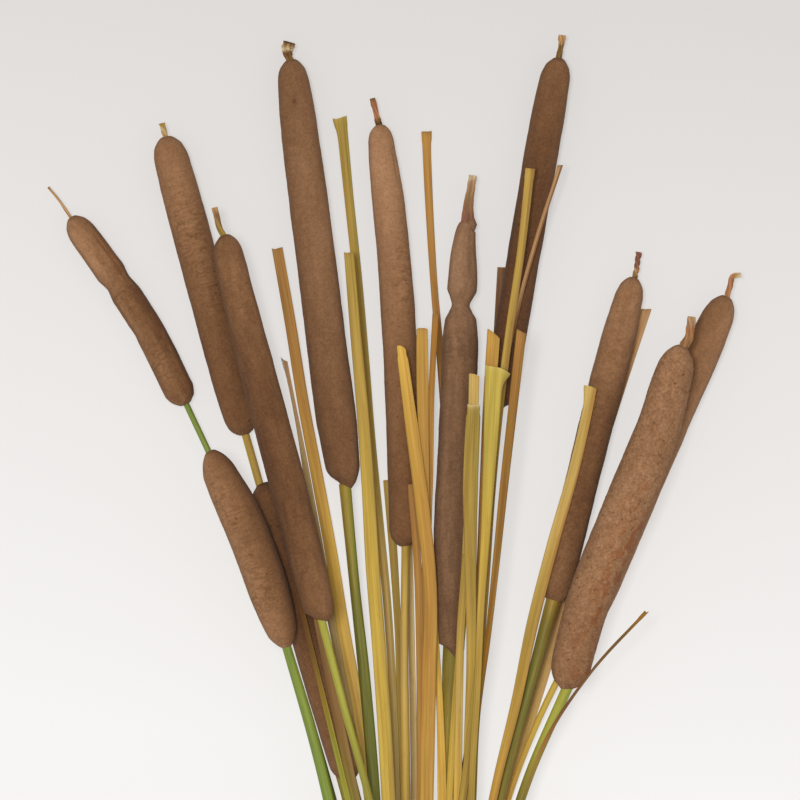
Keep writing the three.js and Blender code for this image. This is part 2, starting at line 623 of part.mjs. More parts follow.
/** Rings of a blade: lens-shaped sections, the first one tipped by the cut's slant. */
function bladeRings(piece, at) {
  return at.map((s, ring) => {
    const { along, across, over } = piece.frameAt(s);
    const { full, roll } = piece.bladeAt(s);
    const wide = across.clone().multiplyScalar(Math.cos(roll)).addScaledVector(over, Math.sin(roll));
    const thick = over.clone().multiplyScalar(Math.cos(roll)).addScaledVector(across, -Math.sin(roll));
    const corners = [
      [1, 0], [LEAF_SHOULDER, 1], [-LEAF_SHOULDER, 1], [-1, 0], [-LEAF_SHOULDER, -1], [LEAF_SHOULDER, -1],
    ];
    return corners.map(([side, face]) => {
      const tipped = ring === 0 ? side * full / 2 * piece.slant : 0;
      return piece.pointAt(s)
        .addScaledVector(wide, side * full / 2)
        .addScaledVector(thick, face * LEAF_THICK / 2)
        .addScaledVector(along, tipped);
    });
  });
}

/** A named mesh in its own finish. */
function makeMesh(name, rings, finish) {
  const material = new THREE.MeshStandardMaterial({ ...finish, metalness: 0 });
  const mesh = new THREE.Mesh(skin(rings), material);
  mesh.name = name;
  return mesh;
}

/** The places of a spike's rings: close together in its rounded ends and its dips. */
function spikePlaces({ top, bottom, topEnd, bottomEnd, dips }) {
  const from = top + topEnd;
  const to = bottom - bottomEnd;
  const dipped = dips.flatMap(({ down, reach }) => DIP_RINGS.map((k) => top + down + k * reach));
  const clear = (s) => dipped.every((place) => Math.abs(place - s) > SPIKE_RING_CLEAR);
  const body = places(from, to, SPIKE_RING_STEP).filter(clear);
  const ends = END_RINGS.flatMap((t) => [top + t * topEnd, bottom - t * bottomEnd]);
  return [...ends, ...body, ...dipped].sort((a, b) => a - b);
}

/** The meshes of a laid down cattail. */
function cattailMeshes(piece) {
  const label = piece.number.padStart(2, '0');
  const stemFinish = GREEN_STEMS.includes(piece.number) ? GREEN_STEM : STRAW_STEM;
  const stemAt = places(piece.bottom + FACE_GAP, piece.plan.length, STEM_RING_STEP);
  const meshes = [
    makeMesh(`stem_${label}`, roundRings(piece, 'stem', STEM_SIDES, stemAt), stemFinish),
    makeMesh(`spike_${label}`, roundRings(piece, 'spike', SPIKE_SIDES, spikePlaces(piece)), SPIKE_BROWN),
  ];
  if (piece.top > 0) {
    const tipAt = places(0, piece.top - FACE_GAP, TIP_RING_STEP);
    meshes.push(makeMesh(`tip_${label}`, roundRings(piece, 'tip', TIP_SIDES, tipAt), TIP_TAN));
  }
  return meshes;
}

/** The finish of a leaf blade, by its number. */
function leafFinish(number) {
  if (GREEN_LEAVES.includes(number)) return GREEN_LEAF;
  return BROWN_LEAVES.includes(number) ? BROWN_LEAF : GOLD_LEAF;
}

/** The mesh of a laid down leaf blade. */
function leafMesh(piece) {
  const label = piece.number.padStart(2, '0');
  const at = places(0, piece.plan.length, LEAF_RING_STEP);
  return makeMesh(`leaf_${label}`, bladeRings(piece, at), leafFinish(piece.number));
}

/** Lays every piece down in order and gathers the meshes. */
function makeBunch() {
  const laid = [];
  for (const entry of LAID_DOWN) {
    const [kind, number] = entry.split(' ');
    const piece = kind === 'cattail' ? makeCattail(number) : makeLeaf(number);
    layDown(piece, laid);
    laid.push(piece);
  }
  const bunch = new THREE.Group();
  for (const piece of laid) {
    bunch.add(...(piece.kind === 'cattail' ? cattailMeshes(piece) : [leafMesh(piece)]));
  }
  return bunch;
}

const bunch = makeBunch();

// The part's origin is the middle of its bounding box's base.
const bounds = new THREE.Box3().setFromObject(bunch, true);
const middle = bounds.getCenter(new THREE.Vector3());
bunch.position.set(-middle.x, -middle.y, -bounds.min.z);

export default bunch;
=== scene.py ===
"""A loose bunch of cut cattails with dry leaf blades, laid down on a pale surface.

Each piece keeps the centre line and the widths of the solid that it stands for. A node's rings of
corners are read back from the frame, a smooth line is laid through their centres, and a fine skin is
worked out along that line as whole arrays. Lengths are in millimetres up to the mesh, then in metres.
"""

import logging
import math
from dataclasses import dataclass, field
from enum import Enum

import bpy
import numpy as np
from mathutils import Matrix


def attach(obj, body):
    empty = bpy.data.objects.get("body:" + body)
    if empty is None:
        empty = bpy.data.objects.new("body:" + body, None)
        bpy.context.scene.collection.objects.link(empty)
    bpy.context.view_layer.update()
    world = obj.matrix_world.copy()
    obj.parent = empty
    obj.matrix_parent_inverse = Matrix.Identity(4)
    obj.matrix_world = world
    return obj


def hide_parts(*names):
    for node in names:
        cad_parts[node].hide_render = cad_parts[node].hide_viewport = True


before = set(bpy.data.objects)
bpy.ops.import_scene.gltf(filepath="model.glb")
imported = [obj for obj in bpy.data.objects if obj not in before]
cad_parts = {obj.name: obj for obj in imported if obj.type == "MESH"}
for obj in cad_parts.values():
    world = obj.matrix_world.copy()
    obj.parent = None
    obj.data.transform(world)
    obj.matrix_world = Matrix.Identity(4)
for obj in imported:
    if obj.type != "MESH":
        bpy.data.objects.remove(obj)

MILLIMETRE = 0.001
UP = np.array([0.0, 0.0, 1.0])

# Corners in one ring of each kind of solid
SPIKE_SIDES = 12
STEM_SIDES = 8
TIP_SIDES = 6
BLADE_SIDES = 6

# Fineness of the skins: points round a piece, and the step between its rows
SPIKE_ROUND = 128
SPIKE_ROW = 0.5
STALK_ROUND = 28
STALK_ROW = 2.0
TIP_ROUND = 32
TIP_ROW = 0.25
BLADE_ROUND = 36
BLADE_ROW = 2.0

# Places of a colour mix's sockets, whose names it has more than once
MIX_FACTOR = 0
MIX_FIRST = 6
MIX_SECOND = 7
MIX_RESULT = 2

# Fixed numbers that scatter the noise's lattice points
CELL_PRIMES = np.array([73856093, 19349663, 83492791])
SEED_PRIME = 40503
MIXERS = ((15, 668265263), (13, 374761393))
LOW_BITS = 0x7FFFFFFF
LAYERED_REACH = 1.4

# What the camera sees: a square of this side, placed by the cut top of the tallest gold blade
VIEW_SIDE = 400.0
TALL_BLADE = "leaf_06"
TALL_BLADE_FROM_VIEW_CENTRE = (13.0, 134.5)


class Tone(Enum):
    """Colours of dry and green plant matter, as red, green and blue in the display's own scale."""

    CREAM = (0.88, 0.80, 0.64)
    PALE = (0.81, 0.71, 0.48)
    PINK_TAN = (0.74, 0.58, 0.46)
    STRAW = (0.78, 0.65, 0.35)
    BRIGHT_GOLD = (0.84, 0.67, 0.28)
    GOLD = (0.76, 0.63, 0.24)
    BRASS = (0.73, 0.56, 0.23)
    DULL_GOLD = (0.69, 0.56, 0.24)
    HONEY = (0.69, 0.50, 0.21)
    AMBER = (0.64, 0.45, 0.20)
    DARK_HONEY = (0.56, 0.39, 0.12)
    ORANGE_TAN = (0.77, 0.59, 0.40)
    COPPER = (0.70, 0.46, 0.31)
    TAN = (0.60, 0.45, 0.30)
    BROWN = (0.50, 0.36, 0.18)
    RED_BROWN = (0.45, 0.29, 0.16)
    PURPLE_BROWN = (0.56, 0.36, 0.29)
    DARK = (0.28, 0.19, 0.10)
    OLIVE_GOLD = (0.62, 0.51, 0.20)
    OLIVE = (0.49, 0.44, 0.16)
    LIME = (0.63, 0.62, 0.24)
    FRESH = (0.71, 0.62, 0.25)
    GREEN = (0.45, 0.53, 0.22)
    DEEP_GREEN = (0.40, 0.40, 0.15)

    def rgb(self) -> np.ndarray:
        """The colour as an array."""
        return np.array(self.value)


Stops = tuple[tuple[float, Tone], ...]
Cell = tuple[float, float, float]
Socket = bpy.types.NodeSocket


def linear(colour: np.ndarray) -> np.ndarray:
    """Turns display colours into linear ones: a power curve above a short straight foot.

    Args:
        colour: values from 0 to 1 in the display's scale.

    Returns:
        The same colours for a shader.
    """
    colour = np.clip(colour, 0.0, 1.0)
    return np.where(colour <= 0.04045, colour / 12.92, ((colour + 0.055) / 1.055) ** 2.4)


def colours_between(stops: Stops, place: np.ndarray) -> np.ndarray:
    """Colours that run in straight lines from each stop to the next, and stay level past the ends.

    Args:
        stops: pairs of a rising place and its tone.
        place: where to read them.

    Returns:
        Display colours with one more axis than place.
    """
    places = [at for at, _ in stops]
    tones = np.array([tone.rgb() for _, tone in stops])
    return np.stack([np.interp(place, places, tones[:, channel]) for channel in range(3)], axis=-1)


def unit(vectors: np.ndarray) -> np.ndarray:
    """The same vectors with length one."""
    return vectors / np.linalg.norm(vectors, axis=-1, keepdims=True)


def smoothstep(low: float, high: float, value: np.ndarray) -> np.ndarray:
    """Rises from 0 at low to 1 at high as 3 t squared minus 2 t cubed."""
    t = np.clip((value - low) / (high - low), 0.0, 1.0)
    return t * t * (3.0 - 2.0 * t)


def bell(value: np.ndarray, centre: float, reach: float) -> np.ndarray:
    """A bell of height 1 round a centre: e to the minus square of the distance over its reach."""
    return np.exp(-(((value - centre) / reach) ** 2))


def degrees_apart(turn: np.ndarray, other: float) -> np.ndarray:
    """How far a turn lies past another, from -180 to 180 degrees."""
    return (turn - other + 180.0) % 360.0 - 180.0


def lattice_noise(points: np.ndarray, seed: int) -> np.ndarray:
    """Smooth noise: each whole lattice point has a fixed chance value, and a point between them
    blends its cell's eight corners by the smoothstep of its place in the cell.

    Args:
        points: array whose last axis holds three coordinates, in cells.
        seed: picks one of many patterns.

    Returns:
        Values from -1 to 1, one for each point.
    """
    cell = np.floor(points).astype(np.int64)
    inside = points - cell
    inside = inside * inside * (3.0 - 2.0 * inside)
    total = np.zeros(points.shape[:-1])
    for corner in range(8):
        step = np.array([corner & 1, corner >> 1 & 1, corner >> 2 & 1])
        x, y, z = np.moveaxis((cell + step) * CELL_PRIMES, -1, 0)
        mixed = x ^ y ^ z ^ seed * SEED_PRIME
        for shift, prime in MIXERS:
            mixed = (mixed ^ (mixed >> shift)) * prime & LOW_BITS
        share = np.where(step == 1, inside, 1.0 - inside).prod(axis=-1)
        total += share * ((mixed >> 8 & 0xFFFF) / 32767.5 - 1.0)
    return total


def layered_noise(points: np.ndarray, seed: int, layers: int = 3) -> np.ndarray:
    """Noise with finer layers on top, each twice as fine and half as strong as the one before.

    Args:
        points: array whose last axis holds three coordinates, in cells of the first layer.
        seed: picks one of many patterns.
        layers: number of layers.

    Returns:
        Values that seldom pass 1 either way, one for each point.
    """
    total = np.zeros(points.shape[:-1])
    for layer in range(layers):
        total += lattice_noise(points * 2.0**layer, seed + layer) * 0.5**layer
    return total / LAYERED_REACH


def cubic_through(places: np.ndarray, values: np.ndarray, slopes: np.ndarray, at: np.ndarray) -> np.ndarray:
    """A curve of cubic pieces with given values and slopes at rising places (Hermite's form).

    Args:
        places: rising knots.
        values: one row for each knot.
        slopes: one row for each knot.
        at: where to read the curve; a little past its ends it runs on.

    Returns:
        One row for each place in at.
    """
    i = np.clip(np.searchsorted(places, at, side="right") - 1, 0, len(places) - 2)
    step = (places[i + 1] - places[i])[:, None]
    t = (at - places[i])[:, None] / step
    start = (1.0 + 2.0 * t) * (1.0 - t) ** 2 * values[i] + t * (1.0 - t) ** 2 * step * slopes[i]
    end = t * t * (3.0 - 2.0 * t) * values[i + 1] + t * t * (t - 1.0) * step * slopes[i + 1]
    return start + end


def curve_through(places: np.ndarray, values: np.ndarray, at: np.ndarray) -> np.ndarray:
    """A smooth curve whose slope at a knot is that of the parabola through it and its neighbours.

    Args:
        places: rising knots.
        values: one row for each knot.
        at: where to read the curve.

    Returns:
        One row for each place in at.
    """
    steps = np.diff(places)[:, None]
    chords = np.diff(values, axis=0) / steps
    inner = (chords[:-1] * steps[1:] + chords[1:] * steps[:-1]) / (steps[1:] + steps[:-1])
    slopes = np.concatenate([chords[:1], inner, chords[-1:]])
    return cubic_through(places, values, slopes, at)


def steady_through(places: np.ndarray, values: np.ndarray, at: np.ndarray) -> np.ndarray:
    """A smooth run of numbers that never swings past its knots: the slope is the harmonic mean of
    the neighbouring chords, or level where they point opposite ways.

    Args:
        places: rising knots.
        values: one number for each knot.
        at: where to read the run; past its ends it stays level.

    Returns:
        One number for each place in at.
    """
    chords = np.diff(values) / np.diff(places)
    product = chords[:-1] * chords[1:]
    total = chords[:-1] + chords[1:]
    inner = np.where(product > 0.0, 2.0 * product / np.where(total == 0.0, 1.0, total), 0.0)
    slopes = np.concatenate([chords[:1], inner, chords[-1:]])
    inside = np.clip(at, places[0], places[-1])
    return cubic_through(places, values[:, None], slopes[:, None], inside)[:, 0]


def rings_of(node: str, sides: int) -> np.ndarray:
    """Reads a solid's rings of corners back from the frame.

    Args:
        node: name of the node.
        sides: corners in each of its rings.

    Returns:
        Array of rings, corners and coordinates in millimetres, from the piece's top to its foot.
    """
    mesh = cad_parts[node].data
    corners = np.empty(len(mesh.vertices) * 3, np.float32)
    mesh.vertices.foreach_get("co", corners)
    corners = np.unique(np.round(corners.reshape(-1, 3).astype(float), 6), axis=0) / MILLIMETRE
    chord = np.linalg.svd(corners - corners.mean(axis=0), full_matrices=False)[2][0]
    chord *= -np.sign(chord[1])
    return corners[np.argsort(corners @ chord)].reshape(-1, sides, 3)


@dataclass(frozen=True)
class Spine:
    """The centre line of a solid with what its rings say of its width.

    places: distance of each ring from the top end, in millimetres.
    centres: each ring's centre.
    reaches: how far a ring's corners are from its centre, on average.
    halves: from each ring's centre to its farthest corner on the right.
    """

    places: np.ndarray
    centres: np.ndarray
    reaches: np.ndarray
    halves: np.ndarray

    @classmethod
    def of_node(cls, node: str, sides: int) -> "Spine":
        """Reads the spine of a node.

        Args:
            node: name of the node.
            sides: corners in each of its rings.

        Returns:
            The spine.
        """
        rings = rings_of(node, sides)
        centres = rings.mean(axis=1)
        spans = (rings[:, :, None] - rings[:, None]).reshape(len(rings), -1, 3)
        widest = np.linalg.norm(spans, axis=-1).argmax(axis=1)
        halves = spans[np.arange(len(rings)), widest] / 2.0
        halves *= np.sign(halves[:, :1])
        steps = np.linalg.norm(np.diff(centres, axis=0), axis=1)
        places = np.concatenate([[0.0], np.cumsum(steps)])
        reaches = np.linalg.norm(rings - centres[:, None], axis=-1).mean(axis=1)
        return cls(places, centres, reaches, halves)

    @property
    def length(self) -> float:
        """Length of the centre line."""
        return float(self.places[-1])

    def frames(self, at: np.ndarray) -> tuple[np.ndarray, np.ndarray, np.ndarray, np.ndarray]:
        """Points of the centre line with three directions at each.

        Args:
            at: distances from the top.

        Returns:
            Centres, then unit vectors along it towards the foot, level to the right, and over both.
        """
        reach = 0.5
        centre = curve_through(self.places, self.centres, at)
        ahead = curve_through(self.places, self.centres, at + reach)
        behind = curve_through(self.places, self.centres, at - reach)
        along = unit(ahead - behind)
        across = unit(np.cross(UP, along))
        return centre, along, across, np.cross(along, across)


@dataclass
class Skin:
    """A closed surface made of rows of points round a piece, with values at every point.

    points: rows by points round by coordinates, in millimetres. Point i of a row lies opposite
    point count minus i, so a strip of faces between such pairs closes each end.
    tint: display colour at every point.
    fibre: place at every point on the straightened piece, in millimetres.
    """

    points: np.ndarray
    tint: np.ndarray
    fibre: np.ndarray

    def faces(self) -> tuple[np.ndarray, np.ndarray]:
        """Corner numbers of the faces.

        Returns:
            Four-sided faces of the sides and end strips, and the triangles that finish the strips.
        """
        rows, count = self.points.shape[:2]
        number = np.arange(rows * count).reshape(rows, count)
        turned = np.roll(number, -1, axis=1)
        sides = np.stack([number[:-1], turned[:-1], turned[1:], number[1:]], axis=-1).reshape(-1, 4)
        half = count // 2
        i = np.arange(1, half - 1)
        strip = np.stack([i, i + 1, count - i - 1, count - i], axis=-1)
        tips = np.array([[0, 1, count - 1], [half - 1, half, half + 1]])
        last = (rows - 1) * count
        quads = np.concatenate([sides, strip[:, ::-1], strip + last])
        triangles = np.concatenate([tips[:, ::-1], tips + last])
        return quads, triangles

    def volume(self) -> float:
        """Signed volume of the rows as a stack of slices, each its area times the step to the next.

        Returns:
            Cubic millimetres, positive if the faces point outwards.
        """
        centre = self.points.mean(axis=1, keepdims=True)
        arm = self.points - centre
        area = np.cross(arm, np.roll(arm, -1, axis=1)).sum(axis=1) / 2.0
        step = np.diff(centre[:, 0], axis=0)
        return float(((area[:-1] + area[1:]) / 2.0 * step).sum())


def make_object(name: str, skin: Skin, material: bpy.types.Material) -> bpy.types.Object:
    """Puts a skin into a mesh, in metres, with its values as attributes.

    Args:
        name: name of the piece.
        skin: its closed surface, whose rows may run either way round.
        material: its material.

    Returns:
        The new object, linked to the scene.
    """
    quads, triangles = skin.faces()
    if skin.volume() < 0.0:
        quads, triangles = quads[:, ::-1], triangles[:, ::-1]
    points = skin.points.reshape(-1, 3) * MILLIMETRE
    points[:, 2] = np.maximum(points[:, 2], 0.0)
    tint = linear(skin.tint.reshape(-1, 3))

    corners = np.concatenate([quads.ravel(), triangles.ravel()]).astype(np.int32)
    sizes = np.concatenate([np.full(len(quads), 4), np.full(len(triangles), 3)])
    mesh = bpy.data.meshes.new(name)
    mesh.vertices.add(len(points))
    mesh.vertices.foreach_set("co", points.astype(np.float32).ravel())
    mesh.loops.add(len(corners))
    mesh.loops.foreach_set("vertex_index", corners)
    mesh.polygons.add(len(sizes))
    mesh.polygons.foreach_set("loop_start", (np.cumsum(sizes) - sizes).astype(np.int32))
    mesh.polygons.foreach_set("use_smooth", np.ones(len(sizes), bool))
    mesh.update(calc_edges=True)
    tint_layer = mesh.attributes.new("tint", "FLOAT_COLOR", "POINT")
    tint_layer.data.foreach_set("color", np.pad(tint, ((0, 0), (0, 1)), constant_values=1.0).ravel())
    fibre_layer = mesh.attributes.new("fibre", "FLOAT_VECTOR", "POINT")
    fibre_layer.data.foreach_set("vector", skin.fibre.astype(np.float32).ravel())
    mesh.materials.append(material)
    piece = bpy.data.objects.new(name, mesh)
    bpy.context.scene.collection.objects.link(piece)
    return piece


@dataclass
class Tube:
    """Circles of points round a spine, to which a piece adds its own relief.

    angle: turn of each point of a row, in radians: 0 is the right, a quarter turn the upper side.
    down, reach: distance from the top, and the smooth radius, at every point.
    local: the point on the straightened piece.
    centre, along: the spine's points and directions at the rows.
    sideways: unit vector from the spine to every point.
    """

    angle: np.ndarray
    down: np.ndarray
    reach: np.ndarray
    local: np.ndarray
    centre: np.ndarray
    along: np.ndarray
    sideways: np.ndarray

    @classmethod
    def on(cls, spine: Spine, rows: np.ndarray, radius: np.ndarray, count: int) -> "Tube":
        """Lays circles along a spine.

        Args:
            spine: the centre line.
            rows: distance of each circle from the top.
            radius: its radius.
            count: points round it.

        Returns:
            The tube.
        """
        centre, along, across, over = spine.frames(rows)
        angle = np.linspace(0.0, 2.0 * math.pi, count, endpoint=False)
        down = np.broadcast_to(rows[:, None], (len(rows), count))
        reach = np.broadcast_to(radius[:, None], down.shape)
        local = np.stack([reach * np.cos(angle), reach * np.sin(angle), down], axis=-1)
        sideways = across[:, None] * np.cos(angle)[:, None] + over[:, None] * np.sin(angle)[:, None]
        return cls(angle, down, reach, local, centre, along, sideways)

    def points(self, reach: np.ndarray) -> np.ndarray:
        """The points that lie at the given distances from the spine."""
        return self.centre[:, None] + self.sideways * reach[..., None]


class NodeBench:
    """A new material's nodes, with short calls that add and join them."""

    def __init__(self, name: str) -> None:
        """Starts a material with a plain shader.

        Args:
            name: name of the material.
        """
        self.material = bpy.data.materials.new(name)
        self.material.use_nodes = True
        self.tree = self.material.node_tree
        self.shader = self.tree.nodes["Principled BSDF"]

    def add(self, kind: str, **settings: object) -> bpy.types.Node:
        """Adds a node.

        Args:
            kind: Blender's name of the node type.
            settings: properties of the node.

        Returns:
            The node.
        """
        node = self.tree.nodes.new(kind)
        for name, value in settings.items():
            setattr(node, name, value)
        return node

    def join(self, source: Socket, target: Socket) -> None:
        """Links an output to an input."""
        self.tree.links.new(source, target)

    def set(self, node: bpy.types.Node, **values: object) -> None:
        """Sets inputs of a node by name, with _ for a space."""
        for name, value in values.items():
            node.inputs[name.replace("_", " ")].default_value = value

    def attribute(self, name: str) -> bpy.types.Node:
        """Adds a reader of one of the mesh's attributes."""
        return self.add("ShaderNodeAttribute", attribute_name=name)

    def noise(self, source: Socket, scale: tuple[float, float, float], detail: float) -> Socket:
        """Adds noise on coordinates that are first scaled along each axis.

        Args:
            source: the coordinates.
            scale: cells for each unit along the three axes.
            detail: number of finer layers.

        Returns:
            The noise's value, about 0.5 on average.
        """
        mapping = self.add("ShaderNodeMapping")
        self.set(mapping, Scale=scale)
        self.join(source, mapping.inputs["Vector"])
        texture = self.add("ShaderNodeTexNoise")
        self.set(texture, Scale=1.0, Detail=detail, Roughness=0.6)
        self.join(mapping.outputs["Vector"], texture.inputs["Vector"])
        return texture.outputs["Fac"]

    def spread(self, value: Socket, low: float, high: float, to_low: float, to_high: float) -> Socket:
        """Adds a map from one range of numbers to another, clamped.

        Args:
            value: the number to map.
            low: start of its range.
            high: end of its range.
            to_low: result at the start.
            to_high: result at the end.

        Returns:
            The mapped number.
        """
        node = self.add("ShaderNodeMapRange")
        self.set(node, From_Min=low, From_Max=high, To_Min=to_low, To_Max=to_high)
        self.join(value, node.inputs["Value"])
        return node.outputs["Result"]

    def mix(self, factor: Socket, first: Socket, second: tuple[float, ...], kind: str) -> Socket:
        """Adds a colour mix of a socket with a fixed colour.

        Args:
            factor: how much of the mix shows.
            first: the colour to change.
            second: the fixed linear colour.
            kind: Blender's name of the way of mixing.

        Returns:
            The mixed colour.
        """
        node = self.add("ShaderNodeMix", data_type="RGBA", blend_type=kind)
        self.join(factor, node.inputs[MIX_FACTOR])
        self.join(first, node.inputs[MIX_FIRST])
        node.inputs[MIX_SECOND].default_value = (*second, 1.0)
        return node.outputs[MIX_RESULT]

    def bump(self, height: Socket, strength: float, distance: float, before: Socket | None = None) -> Socket:
        """Adds a bump.

        Args:
            height: the height pattern.
            strength: how strongly it shows.
            distance: depth of the pattern in metres.
            before: an earlier bump to build on.

        Returns:
            The bent normal.
        """
        node = self.add("ShaderNodeBump")
        self.set(node, Strength=strength, Distance=distance)
        self.join(height, node.inputs["Height"])
        if before is not None:
            self.join(before, node.inputs["Normal"])
        return node.outputs["Normal"]


@dataclass(frozen=True)
class VelvetFinish:
    """Matt velvety seed down: grain, small dark specks and a faint bloom on its edges.

    specks: share of the surface that dark specks cover.
    grain: how far the grain darkens the colour.
    grain_cells, fluff_cells, speck_cells: cells of each pattern in a metre.
    """

    name: str
    specks: float = 0.0
    grain: float = 0.3
    grain_cells: float = 900.0
    fluff_cells: float = 2600.0
    speck_cells: float = 420.0

    def material(self) -> bpy.types.Material:
        """Makes the material: the mesh's tint, darkened by grain and by specks, over a fine bump.

        Returns:
            The material.
        """
        bench = NodeBench(self.name)
        place = bench.add("ShaderNodeTexCoord").outputs["Object"]
        grain = bench.noise(place, (self.grain_cells,) * 3, 4.0)
        fluff = bench.noise(place, (self.fluff_cells,) * 3, 2.0)
        specks = bench.noise(place, (self.speck_cells,) * 3, 2.0)
        colour = bench.attribute("tint").outputs["Color"]
        darker = bench.spread(grain, 0.40, 0.58, self.grain, 0.0)
        colour = bench.mix(darker, colour, (0.50, 0.42, 0.34), "MULTIPLY")
        lighter = bench.spread(fluff, 0.5, 0.72, 0.0, 0.16)
        colour = bench.mix(lighter, colour, (0.30, 0.23, 0.17), "SCREEN")
        spot = bench.spread(specks, 0.70 - self.specks, 0.74 - self.specks, 0.0, 0.55)
        colour = bench.mix(spot, colour, (0.30, 0.17, 0.10), "MULTIPLY")
        bench.join(colour, bench.shader.inputs["Base Color"])
        coarse = bench.bump(grain, 0.4, 0.0004)
        bench.join(bench.bump(fluff, 0.3, 0.0002, coarse), bench.shader.inputs["Normal"])
        bench.set(bench.shader, Roughness=0.95, Sheen_Weight=0.06, Sheen_Roughness=0.6)
        bench.shader.inputs["Specular IOR Level"].default_value = 0.12
        bench.shader.inputs["Sheen Tint"].default_value = (0.85, 0.74, 0.62, 1.0)
        return bench.material


@dataclass(frozen=True)
class FibreFinish:
    """Stalks and blades: lengthwise fibres over the mesh's tint, with stains.

    pitch: width of a fibre in millimetres.
    contrast: how far the grooves between fibres darken the colour.
    stains: how strongly brown stains show.
    gloss: roughness of the surface.
    """

    name: str
    pitch: float
    contrast: float
    stains: float
    gloss: float

    def material(self) -> bpy.types.Material:
        """Makes the material: noise stretched along the piece for fibres and for longer streaks,
        rounder noise for stains, and the fibres again as a bump.

        Returns:
            The material.
        """
        bench = NodeBench(self.name)
        place = bench.attribute("fibre").outputs["Vector"]
        fine = 1.0 / self.pitch
        fibres = bench.noise(place, (fine, fine, 0.012), 3.0)
        streaks = bench.noise(place, (fine * 0.28, fine * 0.28, 0.018), 2.0)
        stains = bench.noise(place, (0.5, 0.5, 0.11), 4.0)
        colour = bench.attribute("tint").outputs["Color"]
        grooves = bench.spread(fibres, 0.38, 0.56, self.contrast, 0.0)
        colour = bench.mix(grooves, colour, (0.50, 0.40, 0.24), "MULTIPLY")
        bright = bench.spread(streaks, 0.5, 0.68, 0.0, 0.3)
        colour = bench.mix(bright, colour, (0.26, 0.19, 0.03), "SCREEN")
        dull = bench.spread(streaks, 0.5, 0.34, 0.0, 0.28)
        colour = bench.mix(dull, colour, (0.62, 0.52, 0.38), "MULTIPLY")
        stained = bench.spread(stains, 0.58, 0.72, 0.0, self.stains)
        colour = bench.mix(stained, colour, (0.42, 0.26, 0.14), "MULTIPLY")
        bench.join(colour, bench.shader.inputs["Base Color"])
        rough = bench.spread(fibres, 0.3, 0.7, self.gloss + 0.12, self.gloss - 0.08)
        bench.join(rough, bench.shader.inputs["Roughness"])
        bench.join(bench.bump(fibres, 0.4, 0.0003), bench.shader.inputs["Normal"])
        bench.shader.inputs["Specular IOR Level"].default_value = 0.2
        return bench.material


@dataclass(frozen=True)
class Notch:
    """A dent in one side of a spike.

    down: distance from the spike's top.
    turn: where round the spike, in degrees: 0 is its right, 90 its upper side.
    depth, reach, spread: how deep, how long either way and how many degrees either way.
    """

    down: float
    turn: float
    depth: float
    reach: float
    spread: float


@dataclass(frozen=True)
class Wrinkles:
    """A patch of fine ridges and creases that run round the spike.

    down, reach: centre and half-length of the patch along the spike.
    turn, spread: centre and half-width of the patch round it, in degrees.
    depth: height of the ridges.
    """

    down: float
    reach: float
    turn: float
    spread: float
    depth: float


@dataclass(frozen=True)
class SpikeLook:
    """How one seed spike differs from the rest.

    tones: places from 0, its top, to 1, its foot, with tones from 0, deep brown, to 1, sandy brown; the run
    is partly the spike's own colour and partly painted shade where neighbouring pieces shade it.
    painted_side_shade: painted light and shade, how far the tone falls from the middle to the right side,
    away from the light, and rises to the left one, towards it.
    painted_rim_shade: painted shade, how far the tone falls close to both sides.
    grey: how far the brown is greyed.
    mottle: strength of long light and dark patches.
    rust: strength of the rusty stain, rust_turn the side that it runs along, in degrees, and
    rust_from the place along the spike where it sets in.
    torn: how much farther down the spike reaches on its torn side than opposite, at torn_turn.
    rough: strength of its grain, against the usual one.
    notches, wrinkles: its dents and its patches of ridges.
    """

    tones: tuple[tuple[float, float], ...]
    painted_side_shade: float = 0.03
    painted_rim_shade: float = 0.08
    grey: float = 0.0
    mottle: float = 0.05
    rust: float = 0.25
    rust_turn: float = 0.0
    rust_from: float = 0.0
    torn: float = 0.0
    torn_turn: float = 0.0
    rough: float = 1.0
    notches: tuple[Notch, ...] = ()
    wrinkles: tuple[Wrinkles, ...] = ()


DEEP_BROWN = np.array([0.26, 0.15, 0.08])
MID_BROWN = np.array([0.475, 0.328, 0.208])
SANDY_BROWN = np.array([0.69, 0.522, 0.385])
RUST = np.array([0.47, 0.28, 0.16])
GREY_BROWN = np.array([0.46, 0.37, 0.30])


